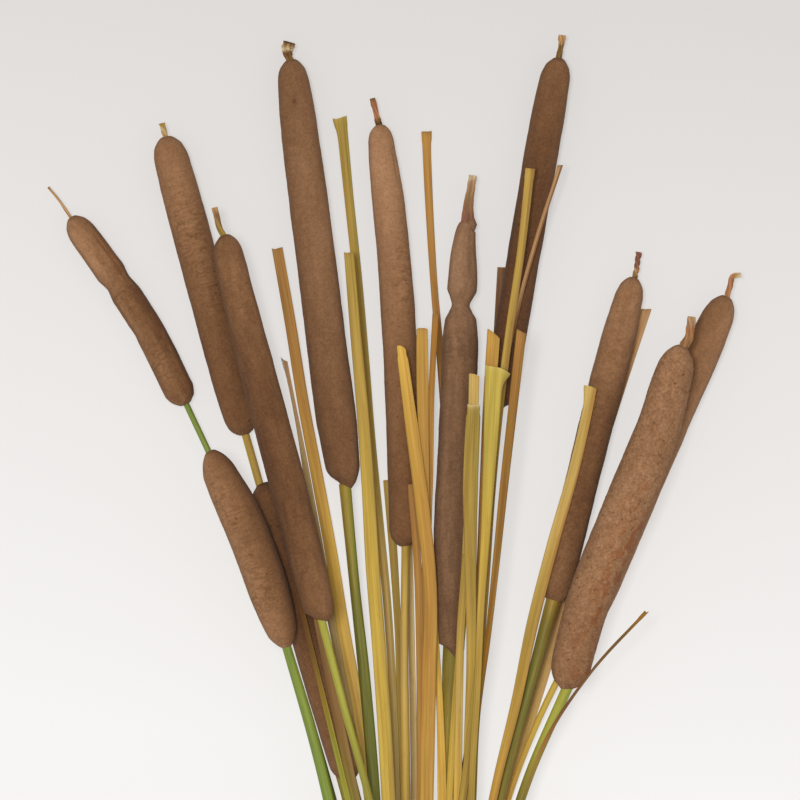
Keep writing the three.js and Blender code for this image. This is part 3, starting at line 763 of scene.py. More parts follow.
@dataclass
class Spike:
    """A seed spike: a velvety club, closed at both ends round its stalk.

    Sizes are in millimetres. A cell is the size of a noise's pattern.

    end_bulge: how far the middle of an end face stands out.
    swell, grain, ridge: heights of its slow swells, of its velvet grain and of its ridges.
    crease_width: how near to zero the noise has to be for a crease, patch_cell the size of the
    patches that are ridged.
    ridge_shade, notch_shade: how far the painted shade of ridges and notches changes the tone.
    plain_notch, sharp_notch: spreads in degrees at which a notch darkens nothing, and in full.
    tooth, tear_reach: length of the torn foot's teeth, and how far up the tear tells.
    """

    node: str
    look: SpikeLook
    seed: int
    end_bulge: float = 0.35
    swell: float = 0.22
    swell_cell: float = 13.0
    grain: float = 0.06
    grain_cell: float = 1.3
    ridge: float = 0.16
    ridge_cell: Cell = (3.0, 3.0, 0.75)
    crease_cell: Cell = (4.5, 4.5, 1.3)
    crease_width: float = 0.24
    patch_cell: float = 16.0
    ridge_shade: float = 0.15
    notch_shade: float = 0.6
    plain_notch: float = 20.0
    sharp_notch: float = 8.0
    tooth: float = 0.35
    tooth_cell: float = 1.4
    tear_reach: float = 7.0

    def profile(self, spine: Spine) -> tuple[np.ndarray, np.ndarray]:
        """The outline from the middle of one end face to the other, in even steps of its length.

        The squared radius runs steadily through the solid's rings, so that the ends are round, and
        each end face rises to its middle as a shallow parabola.

        Args:
            spine: the solid's centre line and radii.

        Returns:
            Distances from the top, and radii.
        """
        body = np.linspace(0.0, spine.length, int(spine.length * 8.0))
        radius = np.sqrt(steady_through(spine.places, spine.reaches**2, body))
        share = np.linspace(0.06, 1.0, 12, endpoint=False)
        rise = self.end_bulge * (1.0 - share**2)
        down = np.concatenate([-rise, body, spine.length + rise[::-1]])
        radius = np.concatenate([share * radius[0], radius, share[::-1] * radius[-1]])
        walked = np.concatenate([[0.0], np.cumsum(np.hypot(np.diff(down), np.diff(radius)))])
        even = np.linspace(0.0, walked[-1], round(walked[-1] / SPIKE_ROW))
        return np.interp(even, walked, down), np.interp(even, walked, radius)

    def relief(self, down: np.ndarray, turn: np.ndarray, local: np.ndarray) -> tuple[np.ndarray, np.ndarray]:
        """Height of the surface over its smooth outline, and the painted shade of its folds, lighter on
        ridges and darker in creases and notches.

        The sum of noises for slow swells and for a velvet grain, bells for the notches, and in
        patches ridges and creases round the spike: a crease lies where a noise crosses zero.

        Args:
            down: distance from the top at every point.
            turn: degrees round the spike at every point.
            local: the point on the straightened spike.

        Returns:
            Heights in millimetres, and a painted shade to add to the tone.
        """
        seed = self.seed * 31
        height = self.swell * layered_noise(local / self.swell_cell, seed)
        height += self.grain * self.look.rough * layered_noise(local / self.grain_cell, seed + 5)
        ridged = 0.5 * lattice_noise(local / np.array(self.ridge_cell), seed + 9)
        crossing = np.abs(lattice_noise(local / np.array(self.crease_cell), seed + 13))
        ridged += 0.25 - smoothstep(self.crease_width, 0.0, crossing)
        patch = 0.3 * smoothstep(0.0, 0.7, layered_noise(local / self.patch_cell, seed + 17))
        for wrinkles in self.look.wrinkles:
            apart = degrees_apart(turn, wrinkles.turn)
            here = bell(down, wrinkles.down, wrinkles.reach) * bell(apart, 0.0, wrinkles.spread)
            patch = patch + wrinkles.depth / self.ridge * here
        height += self.ridge * patch * ridged
        # Painted shade: lighter on the ridges, darker in the creases
        shade = self.ridge_shade * ridged * np.clip(patch, 0.0, 1.5)
        for notch in self.look.notches:
            apart = degrees_apart(turn, notch.turn)
            dent = notch.depth * bell(down, notch.down, notch.reach) * bell(apart, 0.0, notch.spread)
            height -= dent
            # Painted shade: darker in a sharp dent
            sharpness = smoothstep(self.plain_notch, self.sharp_notch, np.full_like(dent, notch.spread))
            shade -= self.notch_shade * dent * sharpness
        return height, shade

    def tone(self, down: np.ndarray, turn: np.ndarray, local: np.ndarray) -> np.ndarray:
        """How light the brown is, from 0, deep, to 1, sandy, apart from folds.

        The look's own run from top to foot, partly painted shade, less a slope across the spike, painted
        light from the left and painted shade on the right, and a fall close to both sides, painted shade at
        the rims, plus noises for blotches of two sizes, drawn out along it, and for grain.

        Args:
            down: distance from the top, from 0 to 1, at every point.
            turn: degrees round the spike at every point.
            local: the point on the straightened spike.

        Returns:
            The tone.
        """
        seed = self.seed * 57
        look = self.look
        tone = np.interp(down, *np.array(look.tones).T)
        sideways = np.cos(np.radians(turn))
        # Painted light on the left side and painted shade on the right side of the spike, and painted shade
        # close to both sides
        tone = tone - look.painted_side_shade * sideways - look.painted_rim_shade * smoothstep(0.72, 0.98, np.abs(sideways))
        tone += 0.06 * layered_noise(local / np.array([9.0, 9.0, 22.0]), seed)
        tone += look.mottle * layered_noise(local / np.array([2.6, 2.6, 13.0]), seed + 23)
        fine = 0.045 * layered_noise(local / 2.6, seed + 3) + 0.05 * lattice_noise(local / 0.9, seed + 7)
        return tone + look.rough * fine

    def colours(self, tube: Tube, turn: np.ndarray, shade: np.ndarray, length: float) -> np.ndarray:
        """Mottled brown that darkens round the top, with a rusty stain in blots along one side.

        The tone, deepened by a bell at the top, is read on two straight runs, deep to middle to
        sandy brown. The stain is a bell round its turn, kept where noise is strong.

        Args:
            tube: the spike's points.
            turn: degrees round the spike at every point.
            shade: painted shade to add for its folds.
            length: length of the spike.

        Returns:
            Display colours.
        """
        look = self.look
        down = tube.down / length
        tone = self.tone(down, turn, tube.local) + (shade - 0.16 * bell(tube.down, 0.0, 1.2))
        tone = np.clip(tone, 0.0, 1.0)[..., None]
        low = DEEP_BROWN + (MID_BROWN - DEEP_BROWN) * np.clip(tone * 2.0, 0.0, 1.0)
        colour = low + (SANDY_BROWN - MID_BROWN) * np.clip(tone * 2.0 - 1.0, 0.0, 1.0)
        colour = colour + (GREY_BROWN * (0.6 + 0.8 * tone) - colour) * look.grey
        apart = degrees_apart(turn, look.rust_turn)
        blots = 0.5 + layered_noise(tube.local / np.array([3.0, 3.0, 6.0]), self.seed * 57 + 11, 4)
        stain = look.rust * bell(apart, 0.0, 42.0) * smoothstep(0.40, 0.72, blots)
        stain = stain * smoothstep(look.rust_from - 0.15, look.rust_from + 0.1, down)
        return colour + (RUST * (0.7 + 0.6 * tone) - colour) * np.clip(stain, 0.0, 0.9)[..., None]

    def build(self) -> Skin:
        """The spike's skin: the outline swept round its spine, plus the relief, with its torn foot
        drawn out along the stalk.

        Returns:
            The skin.
        """
        spine = Spine.of_node(self.node, SPIKE_SIDES)
        tube = Tube.on(spine, *self.profile(spine), SPIKE_ROUND)
        turn = np.broadcast_to(np.degrees(tube.angle), tube.down.shape)
        height, shade = self.relief(tube.down, turn, tube.local)
        reach = np.maximum(tube.reach + height * smoothstep(0.5, 4.0, tube.reach), 0.1)
        tear = self.look.torn / 2.0 * (np.cos(np.radians(turn - self.look.torn_turn)) - 0.5)
        tear = tear + self.tooth * lattice_noise(tube.local / self.tooth_cell, self.seed)
        tear = tear * bell(tube.down, spine.length, self.tear_reach) * smoothstep(0.5, 3.0, reach)
        points = tube.points(reach) + tube.along[:, None] * tear[..., None]
        return Skin(points, self.colours(tube, turn, shade, spine.length), tube.local)


@dataclass(frozen=True)
class StalkLook:
    """Colours of a stalk from its spike to the edge of the view, and on to its cut foot.

    stops: places from 0, at the spike, to 1, at the view's edge, with their tones.
    shade: tone painted on the side that faces right, away from the light: painted shade on most stalks, a
    lighter second tone on a few; shade_share how far it takes over.
    """

    stops: Stops
    shade: Tone = Tone.OLIVE
    shade_share: float = 0.35


def view_share(height: np.ndarray, view_foot: float) -> np.ndarray:
    """Runs from 0 at the first point's y to 1 at the view's lower edge, and on below it."""
    return (height[0] - height) / max(height[0] - view_foot, 1.0)


@dataclass
class Stalk:
    """A bare stalk below its spike: round, finely ribbed, cut square at the foot.

    sunk: how far it runs up into the spike, in millimetres.
    swell, rib_height: heights of its slow swells and of its ribs, in millimetres.
    """

    node: str
    look: StalkLook
    seed: int
    view_foot: float
    sunk: float = 2.5
    ribs: int = 11
    swell: float = 0.07
    rib_height: float = 0.02

    def build(self) -> Skin:
        """The stalk's skin: circles along the spine, with ribs as a cosine round them, running up
        into the spike, and a foot that is pale where it was cut.

        Returns:
            The skin.
        """
        spine = Spine.of_node(self.node, STEM_SIDES)
        whole = np.linspace(-self.sunk, spine.length - 0.5, round(spine.length / STALK_ROW))
        rows = np.concatenate([whole, spine.length - np.array([0.2, 0.05, 0.0])])
        tube = Tube.on(spine, rows, steady_through(spine.places, spine.reaches, rows), STALK_ROUND)
        swell = self.swell * layered_noise(tube.local / np.array([2.5, 2.5, 30.0]), self.seed * 7)
        points = tube.points(tube.reach + swell + self.rib_height * np.cos(self.ribs * tube.angle))
        share = view_share(tube.centre[:, 1], self.view_foot)
        tint = np.broadcast_to(colours_between(self.look.stops, share)[:, None], points.shape)
        wander = 0.25 * layered_noise(tube.local / 18.0, self.seed)
        # Painted shade: the side that faces right, away from the light, takes the shade tone
        shaded_side = smoothstep(-0.2, 0.9, np.cos(tube.angle) + wander)
        tint = tint + (self.look.shade.rgb() - tint) * (self.look.shade_share * shaded_side)[..., None]
        patches = layered_noise(tube.local / np.array([4.0, 4.0, 25.0]), self.seed)
        tint = tint * (1.0 + 0.06 * patches[..., None])
        cut = smoothstep(spine.length - 0.3, spine.length - 0.04, tube.down)[..., None]
        return Skin(points, tint + (Tone.CREAM.rgb() * 0.9 - tint) * cut, tube.local)


@dataclass(frozen=True)
class TipLook:
    """The dry stalk end above a spike.

    stops: places from 0, at its top, to 1, at the spike, with their tones.
    folds: lengthwise folds round it, and fold_depth their share of its radius.
    twist: turns of the folds along it.
    crumple: height of its lumps in millimetres.
    cup: how deep its top is hollowed.
    """

    stops: Stops
    folds: int = 3
    fold_depth: float = 0.12
    twist: float = 0.4
    crumple: float = 0.12
    cup: float = 0.3


@dataclass
class DryTip:
    """The shrivelled end of a stalk above its spike.

    In millimetres: sunk, how far it runs down into the spike; lump_cell, the size of its lumps'
    pattern; least_radius, the thinnest that it gets.
    """

    node: str
    look: TipLook
    seed: int
    sunk: float = 1.6
    lump_cell: float = 1.6
    least_radius: float = 0.12

    def build(self) -> Skin:
        """The tip's skin: folded and crumpled circles along the spine, whose first rows turn
        inwards as a cup, with painted shade in the grooves of the folds.

        Returns:
            The skin.
        """
        spine = Spine.of_node(self.node, TIP_SIDES)
        outside = np.arange(0.0, spine.length + self.sunk, TIP_ROW)
        radius = steady_through(spine.places, spine.reaches, outside)
        inner = np.array([0.35, 0.55, 0.72, 0.86, 0.96])
        rows = np.concatenate([self.look.cup * (1.0 - inner**3), outside])
        tube = Tube.on(spine, rows, np.concatenate([inner * radius[0], radius]), TIP_ROUND)
        wound = 2.0 * math.pi * self.look.twist * tube.down / max(spine.length, 1.0)
        fold = np.cos(self.look.folds * tube.angle + wound * self.look.folds)
        reach = tube.reach * (1.0 - self.look.fold_depth * (0.5 + 0.5 * fold))
        reach = reach + self.look.crumple * layered_noise(tube.local / self.lump_cell, self.seed * 3)
        wander = 0.12 * layered_noise(tube.local / 2.0, self.seed * 5)
        tint = colours_between(self.look.stops, tube.down / max(spine.length, 1.0) + wander)
        # Painted shade: darker in the grooves between the folds
        tint = tint * (1.0 - 0.18 * (0.5 + 0.5 * fold))[..., None]
        return Skin(tube.points(np.maximum(reach, self.least_radius)), tint, tube.local)


@dataclass(frozen=True)
class BladeLook:
    """How one leaf blade differs from the rest.

    stops: places from 0, at its top, to 1, at the view's edge, with their tones.
    right: tone of its right part, from the place right_from across it (-1 to 1), and its share.
    cup: how far its edges stand up, as a share of its width; negative turns them down.
    fold: height of a lengthwise crease at fold_at across it, as a share of its width.
    horn: length of a torn corner at the cut top, and horn_side -1 for left or 1 for right.
    flare: how much wider the top corner spreads on flare_side, in millimetres.
    round_top: how far the cut's corners fall back, in millimetres.
    cut_tone, cut_share: tone along the cut, and how far it takes over.
    """

    stops: Stops
    right: Tone | None = None
    right_from: float = 0.25
    right_share: float = 0.6
    cup: float = 0.10
    fold: float = 0.0
    fold_at: float = 0.2
    horn: float = 0.0
    horn_side: float = -1.0
    flare: float = 0.0
    flare_side: float = 1.0
    round_top: float = 0.0
    cut_tone: Tone = Tone.BROWN
    cut_share: float = 0.35


@dataclass
class Blade:
    """A leaf blade: a long strap with lengthwise ridges, cut at both ends.

    All in millimetres: thickness; ridge and ridge_pitch, the height and width of a ridge; slow, the
    height of its slow waves; cut_fade and flare_fade, how far down its cut and its flare tell.
    flatness: power that flattens its elliptic section, the less the flatter.
    top_rows: distances of its first rows from the cut top, close together there.
    """

    node: str
    look: BladeLook
    seed: int
    view_foot: float
    thickness: float = 1.0
    ridge: float = 0.05
    ridge_pitch: float = 1.5
    slow: float = 0.12
    cut_fade: float = 5.0
    flare_fade: float = 6.0
    flatness: float = 0.7
    top_rows: tuple[float, ...] = (0.0, 0.06, 0.3, 0.8, 1.4, 2.2, 3.2, 4.4)

    def cut_line(self, side: np.ndarray, slant: float) -> np.ndarray:
        """How far the cut top stands above a square one, at each place across the blade.

        A straight slant, a torn corner that rises as a square, rounded corners and small teeth.

        Args:
            side: place across the blade, from -1 to 1.
            slant: rise of the cut from its middle to its right edge.

        Returns:
            Heights in millimetres.
        """
        corner = np.clip(side * self.look.horn_side, 0.0, 1.0)
        teeth = np.stack([side * 3.0, np.zeros_like(side), np.full_like(side, 0.5)], axis=-1)
        rise = slant * side + self.look.horn * corner**4 - self.look.round_top * np.abs(side) ** 3
        return rise + 0.16 * lattice_noise(teeth, self.seed)

    def half_widths(self, spine: Spine, rows: np.ndarray, along: np.ndarray) -> tuple[np.ndarray, np.ndarray]:
        """Reads how the blade lies across its spine, with the solid's own width at the cut top.

        Args:
            spine: the solid's centre line and half widths.
            rows: distances from the top.
            along: direction of the spine at the rows.

        Returns:
            Unit vectors across the blade, and its half widths.
        """
        inward = np.maximum(rows, spine.places[1] * 0.35)
        halves = curve_through(spine.places[1:], spine.halves[1:], inward)
        halves -= along * (halves * along).sum(axis=1, keepdims=True)
        top_half = np.linalg.norm(spine.halves[0] - along[0] * (spine.halves[0] @ along[0]))
        ring_half = np.concatenate([[top_half], np.linalg.norm(spine.halves, axis=1)[1:]])
        half = np.interp(rows, spine.places, ring_half) * 0.5 + np.linalg.norm(halves, axis=1) * 0.5
        half[: len(self.top_rows)] = half[: len(self.top_rows)] * 0.5 + top_half * 0.5
        return unit(halves), half

    def colours(self, centre: np.ndarray, side: np.ndarray, local: np.ndarray, length: float) -> np.ndarray:
        """The look's tones along the blade, another on its right part, darker edges and its cuts.

        Args:
            centre: the spine's points.
            side: place across the blade, from -1 to 1, at every point.
            local: the point on the straightened blade.
            length: length of the blade.

        Returns:
            Display colours.
        """
        look = self.look
        down = local[..., 2]
        share = view_share(centre[:, 1], self.view_foot)
        tint = np.broadcast_to(colours_between(look.stops, share)[:, None], local.shape)
        wander = 0.3 * layered_noise(np.stack([down / 45.0, side * 0.0, side * 0.0], axis=-1), self.seed * 13)
        if look.right is not None:
            over_right = smoothstep(-0.25, 0.25, side - look.right_from + wander)
            tint = tint + (look.right.rgb() - tint) * (look.right_share * over_right)[..., None]
        tint = tint * (1.0 + 0.07 * layered_noise(local / np.array([2.0, 2.0, 40.0]), self.seed)[..., None])
        edge = 0.14 * smoothstep(0.75, 1.0, np.abs(side))
        tint = tint * (1.0 - edge[..., None])
        dried = look.cut_share * np.exp(-down / 1.2)[..., None]
        tint = tint + (look.cut_tone.rgb() - tint) * dried
        cut = smoothstep(length - 0.4, length - 0.05, down)[..., None]
        return tint + (Tone.STRAW.rgb() - tint) * cut

    def build(self) -> Skin:
        """The blade's skin: a strap section carried along the spine on the solid's half widths.

        The section's two faces are a flattened ellipse, lifted by the square of the place across
        for its cup and by the distance from the crease for its fold, with a cosine of ridges.

        Returns:
            The skin.
        """
        spine = Spine.of_node(self.node, BLADE_SIDES)
        body = np.linspace(6.0, spine.length - 1.0, round(spine.length / BLADE_ROW))
        rows = np.concatenate([self.top_rows, body, spine.length - np.array([0.4, 0.06, 0.0])])
        centre, along, _, _ = spine.frames(rows)
        wide, half = self.half_widths(spine, rows, along)
        over = np.cross(along, wide)

        angle = np.linspace(0.0, 2.0 * math.pi, BLADE_ROUND, endpoint=False)
        side = np.broadcast_to(np.cos(angle), (len(rows), BLADE_ROUND))
        face = np.sign(np.sin(angle)) * np.abs(np.sin(angle)) ** self.flatness
        down = np.broadcast_to(rows[:, None], side.shape)
        width = np.broadcast_to(half[:, None], side.shape)
        local = np.stack([side * width, np.broadcast_to(face * 0.4, side.shape), down], axis=-1)

        corner = np.clip(side * self.look.flare_side, 0.0, 1.0)
        spread = width + self.look.flare * corner**2 * np.exp(-((down / self.flare_fade) ** 2))
        cupped = self.look.cup * 2.0 * width * (side**2 - 0.33)
        creased = -self.look.fold * 2.0 * width * (np.abs(side - self.look.fold_at) - 0.5)
        waves = np.stack([side * 0.6, side * 0.0, down / 28.0], axis=-1)
        waved = self.slow * layered_noise(waves, self.seed * 11)
        ridges = self.ridge * np.cos(2.0 * math.pi * side * width / self.ridge_pitch) * (1.0 - side**4)
        lift = cupped + creased + waved + face * (self.thickness / 2.0 + ridges)
        slant = -float(spine.halves[0] @ along[0])
        rise = self.cut_line(side, slant) * np.exp(-down / self.cut_fade)
        points = centre[:, None] + wide[:, None] * (side * spread)[..., None]
        points = points + over[:, None] * lift[..., None] - along[:, None] * rise[..., None]
        return Skin(points, self.colours(centre, side, local, spine.length), local)


@dataclass
class Cattail:
    """One cattail: its spike, the stalk below it and the dry tip above it, where it has one.

    stalk_sunk: how far the stalk runs up into the spike, in millimetres.
    """

    number: int
    spike: SpikeLook
    stalk: StalkLook
    tip: TipLook | None
    spike_finish: str = "seed_velvet"
    stalk_sunk: float = 2.5

    def build(self, view_foot: float) -> dict[str, tuple[Skin, str]]:
        """Builds the pieces.

        Args:
            view_foot: y of the view's lower edge, in millimetres.

        Returns:
            For each node, its skin and the name of its finish.
        """
        label = f"{self.number:02d}"
        spike = Spike(f"spike_{label}", self.spike, self.number)
        stalk = Stalk(f"stem_{label}", self.stalk, self.number + 40, view_foot, self.stalk_sunk)
        pieces = {
            spike.node: (spike.build(), self.spike_finish),
            stalk.node: (stalk.build(), "stalk_fibre"),
        }
        if self.tip is not None:
            tip = DryTip(f"tip_{label}", self.tip, self.number + 80)
            pieces[tip.node] = (tip.build(), "dry_tip_fibre")
        return pieces


def cattails() -> list[Cattail]:
    """The twelve cattails, left to right as they lie.

    Returns:
        Their looks.
    """
    tone = Tone
    return [
        Cattail(
            1,
            SpikeLook(tones=((0.0, 0.70), (0.1, 0.74), (0.28, 0.68), (0.42, 0.50), (1.0, 0.54)), painted_side_shade=0.13,
                painted_rim_shade=0.22, mottle=0.16, rust=0.35, rust_turn=25.0,
                notches=(Notch(41.0, 0.0, -0.3, 5.0, 70.0), Notch(67.0, 185.0, 0.4, 3.5, 60.0),
                Notch(24.0, 52.0, 0.3, 16.0, 7.0), Notch(40.0, 120.0, 0.25, 1.4, 20.0)),
                wrinkles=(Wrinkles(85.0, 14.0, 110.0, 60.0, 0.16),
                Wrinkles(44.0, 6.0, 120.0, 50.0, 0.16))),
            StalkLook(((0.0, tone.GREEN),), tone.DEEP_GREEN, 0.4),
            TipLook(((0.0, tone.RED_BROWN), (0.12, tone.ORANGE_TAN)), fold_depth=0.05, crumple=0.05,
                cup=0.1),
        ),
        Cattail(
            2,
            SpikeLook(tones=((0.0, 0.66), (0.1, 0.68), (0.4, 0.56), (0.62, 0.46), (1.0, 0.46)), painted_side_shade=0.05,
                rust=0.15, rust_turn=170.0, wrinkles=(Wrinkles(48.0, 22.0, 95.0, 60.0, 0.21),
                Wrinkles(80.0, 14.0, 60.0, 50.0, 0.14))),
            StalkLook(((0.0, tone.DULL_GOLD), (0.25, tone.OLIVE_GOLD), (1.0, tone.OLIVE)), tone.TAN, 0.4),
            TipLook(((0.0, tone.HONEY), (0.5, tone.PALE), (1.0, tone.ORANGE_TAN)), crumple=0.5,
                fold_depth=0.12, cup=0.6),
        ),
        Cattail(
            3,
            SpikeLook(tones=((0.0, 0.50), (0.1, 0.54), (0.4, 0.38), (0.7, 0.37), (1.0, 0.52)), painted_side_shade=-0.08,
                mottle=0.1, rust=0.15, rust_turn=10.0, torn=2.5, torn_turn=0.0,
                wrinkles=(Wrinkles(30.0, 20.0, 70.0, 50.0, 0.06),
                Wrinkles(170.0, 10.0, 120.0, 40.0, 0.10))),
            StalkLook(((0.5, tone.LIME), (1.5, tone.OLIVE)), tone.FRESH, 0.2),
            TipLook(((0.0, tone.ORANGE_TAN), (0.3, tone.TAN), (1.0, tone.OLIVE_GOLD)), crumple=0.08,
                cup=0.25),
        ),
        Cattail(
            4,
            # Painted shadow: the dark upper half of this spike, where neighbouring pieces shade it
            SpikeLook(tones=((0.0, 0.32), (0.45, 0.26), (0.6, 0.42), (1.0, 0.54)), painted_side_shade=0.08, rust=0.1,
                rust_turn=0.0),
            StalkLook(((0.0, tone.OLIVE),), tone.OLIVE_GOLD, 0.4),
            None,
        ),
        Cattail(
            5,
            SpikeLook(tones=((0.0, 0.54), (0.2, 0.58), (0.7, 0.58), (1.0, 0.66)), painted_side_shade=0.18, painted_rim_shade=0.12,
                rust=0.15, rust_turn=340.0, wrinkles=(Wrinkles(28.0, 16.0, 120.0, 46.0, 0.22),
                Wrinkles(72.0, 22.0, 115.0, 48.0, 0.22))),
            StalkLook(((0.0, tone.GREEN),), tone.LIME, 0.15),
            None,
        ),
        Cattail(
            6,
            SpikeLook(tones=((0.0, 0.50), (0.1, 0.56), (0.4, 0.62), (0.6, 0.56), (0.8, 0.48), (1.0, 0.48)),
                painted_side_shade=-0.03, grey=0.1, rust=0.05, torn=4.0, torn_turn=0.0,
                wrinkles=(Wrinkles(45.0, 30.0, 90.0, 70.0, 0.05),),
                notches=(Notch(21.0, 95.0, 0.5, 1.6, 9.0),)),
            StalkLook(((0.0, tone.OLIVE_GOLD), (0.25, tone.OLIVE), (0.5, tone.DEEP_GREEN)),
                tone.GREEN, 0.4),
            TipLook(((0.0, tone.DARK), (0.15, tone.TAN), (0.45, tone.CREAM), (0.6, tone.RED_BROWN),
                (1.0, tone.BROWN)), folds=5, fold_depth=0.28, crumple=0.8, cup=1.6, twist=0.2),
        ),
        Cattail(
            7,
            SpikeLook(tones=((0.0, 0.84), (0.1, 0.90), (0.3, 0.74), (0.6, 0.58), (0.85, 0.42),
                (1.0, 0.46)), painted_side_shade=0.06, rust=0.0, torn=1.0, torn_turn=180.0,
                wrinkles=(Wrinkles(75.0, 20.0, 60.0, 44.0, 0.18),),
                notches=(Notch(21.0, 40.0, 0.35, 9.0, 6.0), Notch(208.0, 20.0, 1.6, 4.0, 16.0))),
            StalkLook(((0.0, tone.DULL_GOLD), (0.5, tone.STRAW), (1.0, tone.DULL_GOLD)),
                tone.OLIVE_GOLD, 0.3),
            TipLook(((0.0, tone.BROWN), (0.2, tone.COPPER), (0.75, tone.COPPER), (0.9, tone.RED_BROWN),
                (1.0, tone.DARK)), folds=4, fold_depth=0.25, crumple=0.2, cup=0.5),
        ),
        Cattail(
            8,
            SpikeLook(tones=((0.0, 0.66), (0.12, 0.72), (0.24, 0.58), (0.3, 0.46), (0.6, 0.52),
                (1.0, 0.42)), painted_side_shade=0.07, grey=0.35, mottle=0.14, rust=0.05, torn=13.0, torn_turn=5.0,
                wrinkles=(Wrinkles(60.0, 30.0, 110.0, 60.0, 0.06),),
                notches=(Notch(14.0, 60.0, 0.3, 11.0, 10.0),)),
            StalkLook(((0.0, tone.OLIVE), (1.0, tone.OLIVE_GOLD)), tone.OLIVE, 0.4),
            TipLook(((0.0, tone.CREAM), (0.15, tone.PINK_TAN), (0.5, tone.TAN), (1.0, tone.PURPLE_BROWN)),
                folds=3, fold_depth=0.16, crumple=0.2, twist=0.1, cup=0.5),
            stalk_sunk=14.0,
        ),
        Cattail(
            9,
            SpikeLook(tones=((0.0, 0.50), (0.1, 0.48), (0.3, 0.36), (0.5, 0.27), (1.0, 0.22)), painted_side_shade=-0.01,
                rust=0.2, rust_turn=350.0, torn=5.0, torn_turn=200.0),
            StalkLook(((0.0, tone.DARK), (0.2, tone.BROWN), (1.0, tone.OLIVE)), tone.DARK, 0.3),
            TipLook(((0.3, tone.ORANGE_TAN), (0.5, tone.BROWN)), folds=4, fold_depth=0.3, crumple=0.3,
                cup=0.8),
        ),
        Cattail(
            10,
            SpikeLook(tones=((0.0, 0.72), (0.1, 0.76), (0.3, 0.66), (0.42, 0.47), (0.6, 0.44),
                (1.0, 0.56)), painted_side_shade=-0.02, rust=0.15, rust_turn=0.0, rough=1.6,
                wrinkles=(Wrinkles(60.0, 30.0, 90.0, 70.0, 0.08),)),
            StalkLook(((0.0, tone.OLIVE_GOLD), (0.15, tone.OLIVE), (0.45, tone.DEEP_GREEN),
                (1.0, tone.OLIVE)), tone.BROWN, 0.35),
            TipLook(((0.6, tone.PURPLE_BROWN), (0.75, tone.ORANGE_TAN), (1.0, tone.RED_BROWN)), folds=3,
                fold_depth=0.35, twist=1.2, crumple=0.2, cup=0.4),
        ),
        Cattail(
            11,
            SpikeLook(tones=((0.0, 0.64), (0.3, 0.67), (1.0, 0.77)), painted_side_shade=-0.13, rust=0.15,
                rust_turn=355.0),
            StalkLook(((0.5, tone.GOLD), (1.0, tone.BRASS)), tone.STRAW, 0.3),
            TipLook(((0.0, tone.CREAM), (0.2, tone.ORANGE_TAN), (0.45, tone.COPPER)), folds=3,
                fold_depth=0.2, crumple=0.15, cup=0.1),
        ),
        Cattail(
            12,
            SpikeLook(tones=((0.0, 0.78), (0.6, 0.77), (1.0, 0.70)), painted_side_shade=0.02, rust=0.9, rust_turn=38.0,
                rust_from=0.4, rough=2.2, torn=1.5, torn_turn=200.0),
            StalkLook(((0.5, tone.LIME), (1.0, tone.OLIVE)), tone.GREEN, 0.3),
            TipLook(((0.0, tone.ORANGE_TAN), (0.2, tone.PINK_TAN), (0.4, tone.COPPER), (1.0, tone.TAN)),
                folds=4, fold_depth=0.15, crumple=0.4, cup=0.2),
            spike_finish="speckled_velvet",
        ),
    ]


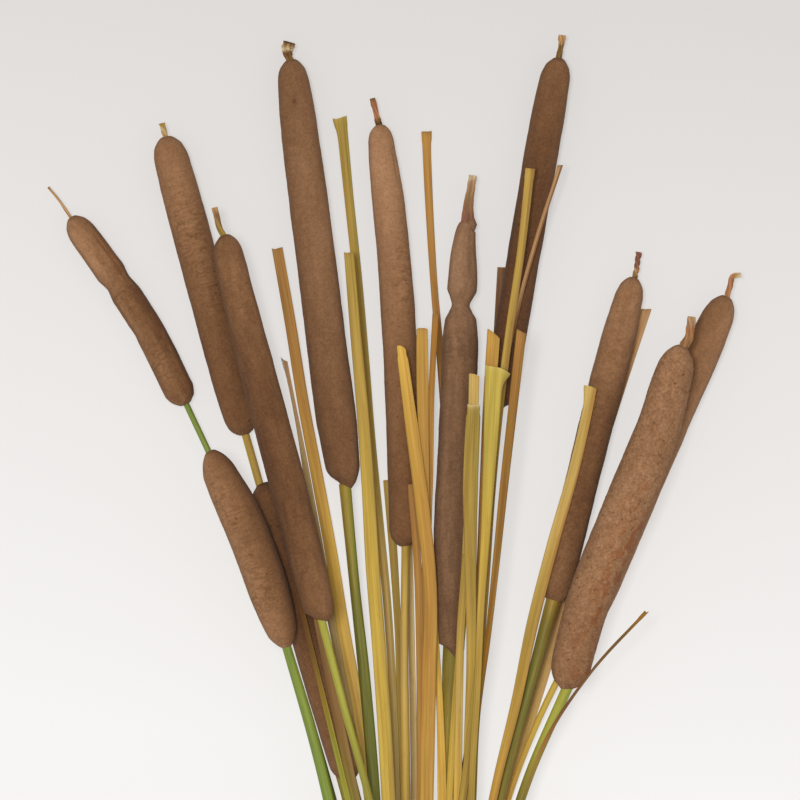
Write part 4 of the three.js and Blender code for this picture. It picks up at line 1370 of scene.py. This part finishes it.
def blade_looks() -> dict[int, BladeLook]:
    """The looks of the twenty-five leaf blades, by their numbers.

    Returns:
        A look for each blade's number.
    """
    tone = Tone
    return {
        1: BladeLook(((0.0, tone.AMBER), (0.25, tone.HONEY), (0.6, tone.BRIGHT_GOLD), (1.0, tone.STRAW)),
            horn=0.5),
        2: BladeLook(((0.0, tone.ORANGE_TAN), (0.3, tone.PALE)), horn=2.0, flare=2.0, flare_side=-1.0,
            cut_share=0.1),
        3: BladeLook(((0.0, tone.OLIVE_GOLD), (0.3, tone.DULL_GOLD), (0.6, tone.STRAW), (1.0, tone.PALE)),
            tone.OLIVE, 0.3, 0.4, cup=0.14, horn=0.6, flare=1.4, flare_side=-1.0, cut_tone=tone.PALE),
        4: BladeLook(((0.0, tone.OLIVE_GOLD), (0.25, tone.DULL_GOLD), (0.5, tone.GOLD)),
            tone.OLIVE_GOLD, 0.45, 0.6, cup=0.05, horn=0.5),
        5: BladeLook(((0.0, tone.DULL_GOLD), (0.3, tone.OLIVE_GOLD)), tone.OLIVE, 0.4, 0.3),
        6: BladeLook(((0.0, tone.HONEY), (0.4, tone.AMBER), (0.75, tone.BROWN)), tone.BROWN, 0.5, 0.3,
            horn=0.4, horn_side=1.0, flare=0.5, cut_share=0.8),
        7: BladeLook(((0.0, tone.AMBER), (0.4, tone.HONEY), (0.62, tone.OLIVE_GOLD),
            (0.78, tone.BRIGHT_GOLD))),
        8: BladeLook(((0.0, tone.BRASS), (0.5, tone.HONEY), (1.0, tone.AMBER)), tone.AMBER, 0.3, 0.3,
            round_top=0.8),
        9: BladeLook(((0.0, tone.BRIGHT_GOLD), (0.3, tone.BRASS), (0.6, tone.HONEY), (1.0, tone.BRASS)),
            tone.HONEY, 0.1, 0.35, cup=0.12, round_top=1.2, cut_share=0.05),
        10: BladeLook(((0.0, tone.AMBER), (0.4, tone.HONEY)), tone.BROWN, 0.2, 0.3),
        11: BladeLook(((0.15, tone.STRAW), (0.5, tone.DULL_GOLD), (1.0, tone.GOLD)), round_top=0.6,
            cut_share=0.1),
        12: BladeLook(((0.0, tone.OLIVE_GOLD), (0.5, tone.DULL_GOLD), (1.0, tone.GOLD)),
            tone.OLIVE, 0.3, 0.3, horn=0.8, cup=0.06, cut_tone=tone.CREAM, cut_share=0.8),
        13: BladeLook(((0.0, tone.OLIVE_GOLD), (0.3, tone.DULL_GOLD), (0.6, tone.STRAW),
            (1.0, tone.BRIGHT_GOLD)), tone.OLIVE_GOLD, 0.2, 0.3),
        14: BladeLook(((0.2, tone.FRESH), (0.4, tone.GOLD), (0.6, tone.DULL_GOLD), (1.0, tone.OLIVE_GOLD)),
            tone.OLIVE_GOLD, 0.5, 0.4, cup=0.06, flare=3.4, horn=-2.6, horn_side=1.0, cut_tone=tone.CREAM,
            cut_share=0.25),
        15: BladeLook(((0.0, tone.BRASS), (0.12, tone.HONEY), (0.2, tone.AMBER), (0.5, tone.AMBER),
            (1.0, tone.PALE)), round_top=0.4),
        16: BladeLook(((0.3, tone.DULL_GOLD), (1.0, tone.OLIVE_GOLD)), tone.BROWN, 0.35, 0.5, fold=0.12),
        17: BladeLook(((0.3, tone.ORANGE_TAN), (0.6, tone.HONEY), (1.0, tone.BROWN)),
            tone.RED_BROWN, 0.1, 0.6, horn=0.6, flare=1.2, flare_side=-1.0),
        18: BladeLook(((0.0, tone.AMBER), (0.2, tone.DARK_HONEY), (0.7, tone.DARK_HONEY),
            (1.0, tone.OLIVE)), tone.BROWN, 0.4, 0.3, fold=0.10),
        19: BladeLook(((0.4, tone.RED_BROWN), (1.0, tone.DARK)), tone.DARK, 0.4, 0.4),
        20: BladeLook(((0.35, tone.STRAW), (0.6, tone.DULL_GOLD), (1.0, tone.BRASS)),
            tone.AMBER, 0.45, 0.7, fold=0.12, fold_at=-0.55, round_top=0.3, flare=2.0, flare_side=-1.0,
            cut_share=0.05),
        21: BladeLook(((0.4, tone.ORANGE_TAN), (1.0, tone.STRAW)), tone.BROWN, 0.4, 0.2, cut_share=0.5),
        22: BladeLook(((0.0, tone.HONEY), (0.05, tone.AMBER), (0.15, tone.BROWN), (0.5, tone.RED_BROWN),
            (0.68, tone.AMBER), (0.8, tone.OLIVE_GOLD), (1.0, tone.OLIVE)), horn=1.0, horn_side=1.0,
            cut_share=0.6),
        23: BladeLook(((0.0, tone.RED_BROWN), (0.3, tone.BROWN), (0.55, tone.OLIVE_GOLD),
            (0.75, tone.LIME)), tone.FRESH, 0.3, 0.3),
        24: BladeLook(((0.0, tone.OLIVE_GOLD), (0.12, tone.PALE))),
        25: BladeLook(((0.6, tone.BROWN), (1.0, tone.OLIVE)), tone.TAN, 0.2, 0.4),
    }


@dataclass
class Studio:
    """A plain pale floor that gives off part of its brightness and whose tone dims towards its far
    side as painted light, a soft light high over the bunch, a little to its upper left, pale
    surroundings and a camera that looks straight down.

    key_place, key_power, key_side: the light's place in metres, its watts and its side in metres.
    aim: the point that it faces.
    sky: strength of the surroundings.
    glow: share of the floor's brightness that it gives off itself, which keeps shadows faint.
    fade_way: the direction along the floor in which its two tones, painted light that dims towards
    the far side, run into each other, and fade, in metres, where that starts and ends.
    """

    distance: float = 6.0
    sensor: float = 36.0
    focus_height: float = 0.012
    floor_side: float = 14.0
    key_place: tuple[float, float, float] = (-0.55, 0.35, 5.3)
    key_power: float = 168.0
    key_side: float = 1.1
    sky: float = 0.54
    glow: float = 0.7
    # Painted light: the floor's tone dims from its near side to its far side
    far_floor_painted_dim: tuple[float, float, float] = (0.60, 0.575, 0.555)
    near_floor_painted_bright: tuple[float, float, float] = (0.90, 0.885, 0.87)
    fade_way: tuple[float, float, float] = (0.12, 1.0, 0.0)
    fade: tuple[float, float] = (-0.05, 0.34)
    aim: tuple[float, float, float] = (0.0, 0.1, 0.0)
    room_tone: tuple[float, float, float, float] = (1.0, 0.985, 0.97, 1.0)

    def view_centre(self) -> np.ndarray:
        """The point at the middle of the view, in millimetres, from the tallest blade's cut top."""
        top = rings_of(TALL_BLADE, BLADE_SIDES)[0].mean(axis=0)
        return top[:2] - np.array(TALL_BLADE_FROM_VIEW_CENTRE)

    def view_foot(self) -> float:
        """y of the view's lower edge, in millimetres."""
        return float(self.view_centre()[1]) - VIEW_SIDE / 2.0

    def floor(self) -> None:
        """A wide pale sheet at the height of the surface, its tone dimming to the far side as painted light.
        """
        half = self.floor_side / 2.0
        corners = [(-half, -half, 0.0), (half, -half, 0.0), (half, half, 0.0), (-half, half, 0.0)]
        mesh = bpy.data.meshes.new("floor")
        mesh.from_pydata(corners, [], [(0, 1, 2, 3)])
        bench = NodeBench("pale_floor")
        place = bench.add("ShaderNodeTexCoord").outputs["Object"]
        across = bench.add("ShaderNodeVectorMath", operation="DOT_PRODUCT")
        bench.join(place, across.inputs[0])
        across.inputs[1].default_value = self.fade_way
        tones = bench.add("ShaderNodeMix", data_type="RGBA")
        bench.join(bench.spread(across.outputs["Value"], *self.fade, 0.0, 1.0), tones.inputs[MIX_FACTOR])
        tones.inputs[MIX_FIRST].default_value = (*self.near_floor_painted_bright, 1.0)
        tones.inputs[MIX_SECOND].default_value = (*self.far_floor_painted_dim, 1.0)
        bench.join(tones.outputs[MIX_RESULT], bench.shader.inputs["Emission Color"])
        still = 1.0 - self.glow
        bench.shader.inputs["Base Color"].default_value = (*(still * part for part in self.near_floor_painted_bright), 1.0)
        bench.set(bench.shader, Roughness=0.9, Emission_Strength=self.glow)
        bench.shader.inputs["Specular IOR Level"].default_value = 0.1
        mesh.materials.append(bench.material)
        sheet = bpy.data.objects.new("floor", mesh)
        bpy.context.scene.collection.objects.link(sheet)

    def softbox(self) -> None:
        """The square light, turned to face the bunch."""
        light = bpy.data.lights.new("key", "AREA")
        light.shape = "SQUARE"
        light.size = self.key_side
        light.energy = self.key_power
        lamp = bpy.data.objects.new("key", light)
        x, y, z = np.array(self.aim) - np.array(self.key_place)
        lamp.location = self.key_place
        lamp.rotation_euler = (math.atan2(math.hypot(x, y), -z), 0.0, math.atan2(-x, y))
        bpy.context.scene.collection.objects.link(lamp)

    def build(self) -> None:
        """Makes the floor, the light, the pale surroundings and the camera."""
        self.floor()
        self.softbox()
        scene = bpy.context.scene
        scene.world = bpy.data.worlds.new("pale_room")
        scene.world.use_nodes = True
        background = scene.world.node_tree.nodes["Background"]
        background.inputs["Color"].default_value = self.room_tone
        background.inputs["Strength"].default_value = self.sky
        scene.view_settings.view_transform = "Standard"
        x, y = self.view_centre() * MILLIMETRE
        camera = bpy.data.cameras.new("camera")
        camera.sensor_width = self.sensor
        camera.lens = self.sensor * self.distance / (VIEW_SIDE * MILLIMETRE)
        camera.clip_end = 20.0
        holder = bpy.data.objects.new("camera", camera)
        holder.location = (x, y, self.distance + self.focus_height)
        scene.collection.objects.link(holder)
        scene.camera = holder


@dataclass
class Bunch:
    """The whole bunch: every cattail and every blade, in its finish."""

    studio: Studio
    finishes: dict[str, bpy.types.Material] = field(default_factory=dict)

    def prepare(self) -> None:
        """Makes the finishes."""
        for finish in (
            VelvetFinish("seed_velvet"),
            VelvetFinish("speckled_velvet", specks=0.05, grain=0.45),
            FibreFinish("stalk_fibre", pitch=0.55, contrast=0.22, stains=0.2, gloss=0.5),
            FibreFinish("dry_tip_fibre", pitch=0.5, contrast=0.4, stains=0.4, gloss=0.75),
            FibreFinish("blade_fibre", pitch=0.5, contrast=0.22, stains=0.16, gloss=0.55),
        ):
            self.finishes[finish.name] = finish.material()

    def place(self, node: str, skin: Skin, finish: str) -> None:
        """Puts a piece in its node's place.

        Args:
            node: the node that the piece stands for.
            skin: the piece's closed surface.
            finish: name of its finish.
        """
        piece = make_object(f"{node}_skin", skin, self.finishes[finish])
        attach(piece, "root")
        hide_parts(node)
        logging.info("%s: %d faces", piece.name, len(piece.data.polygons))

    def build(self) -> None:
        """Builds every cattail and blade."""
        self.prepare()
        foot = self.studio.view_foot()
        for cattail in cattails():
            for node, (skin, finish) in cattail.build(foot).items():
                self.place(node, skin, finish)
        for number, look in blade_looks().items():
            blade = Blade(f"leaf_{number:02d}", look, number, foot)
            self.place(blade.node, blade.build(), "blade_fibre")


def main() -> None:
    """Builds the studio and the bunch."""
    logging.basicConfig(level=logging.INFO, format="%(message)s", force=True)
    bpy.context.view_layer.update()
    studio = Studio()
    studio.build()
    Bunch(studio).build()


if __name__ == "__main__":
    main()
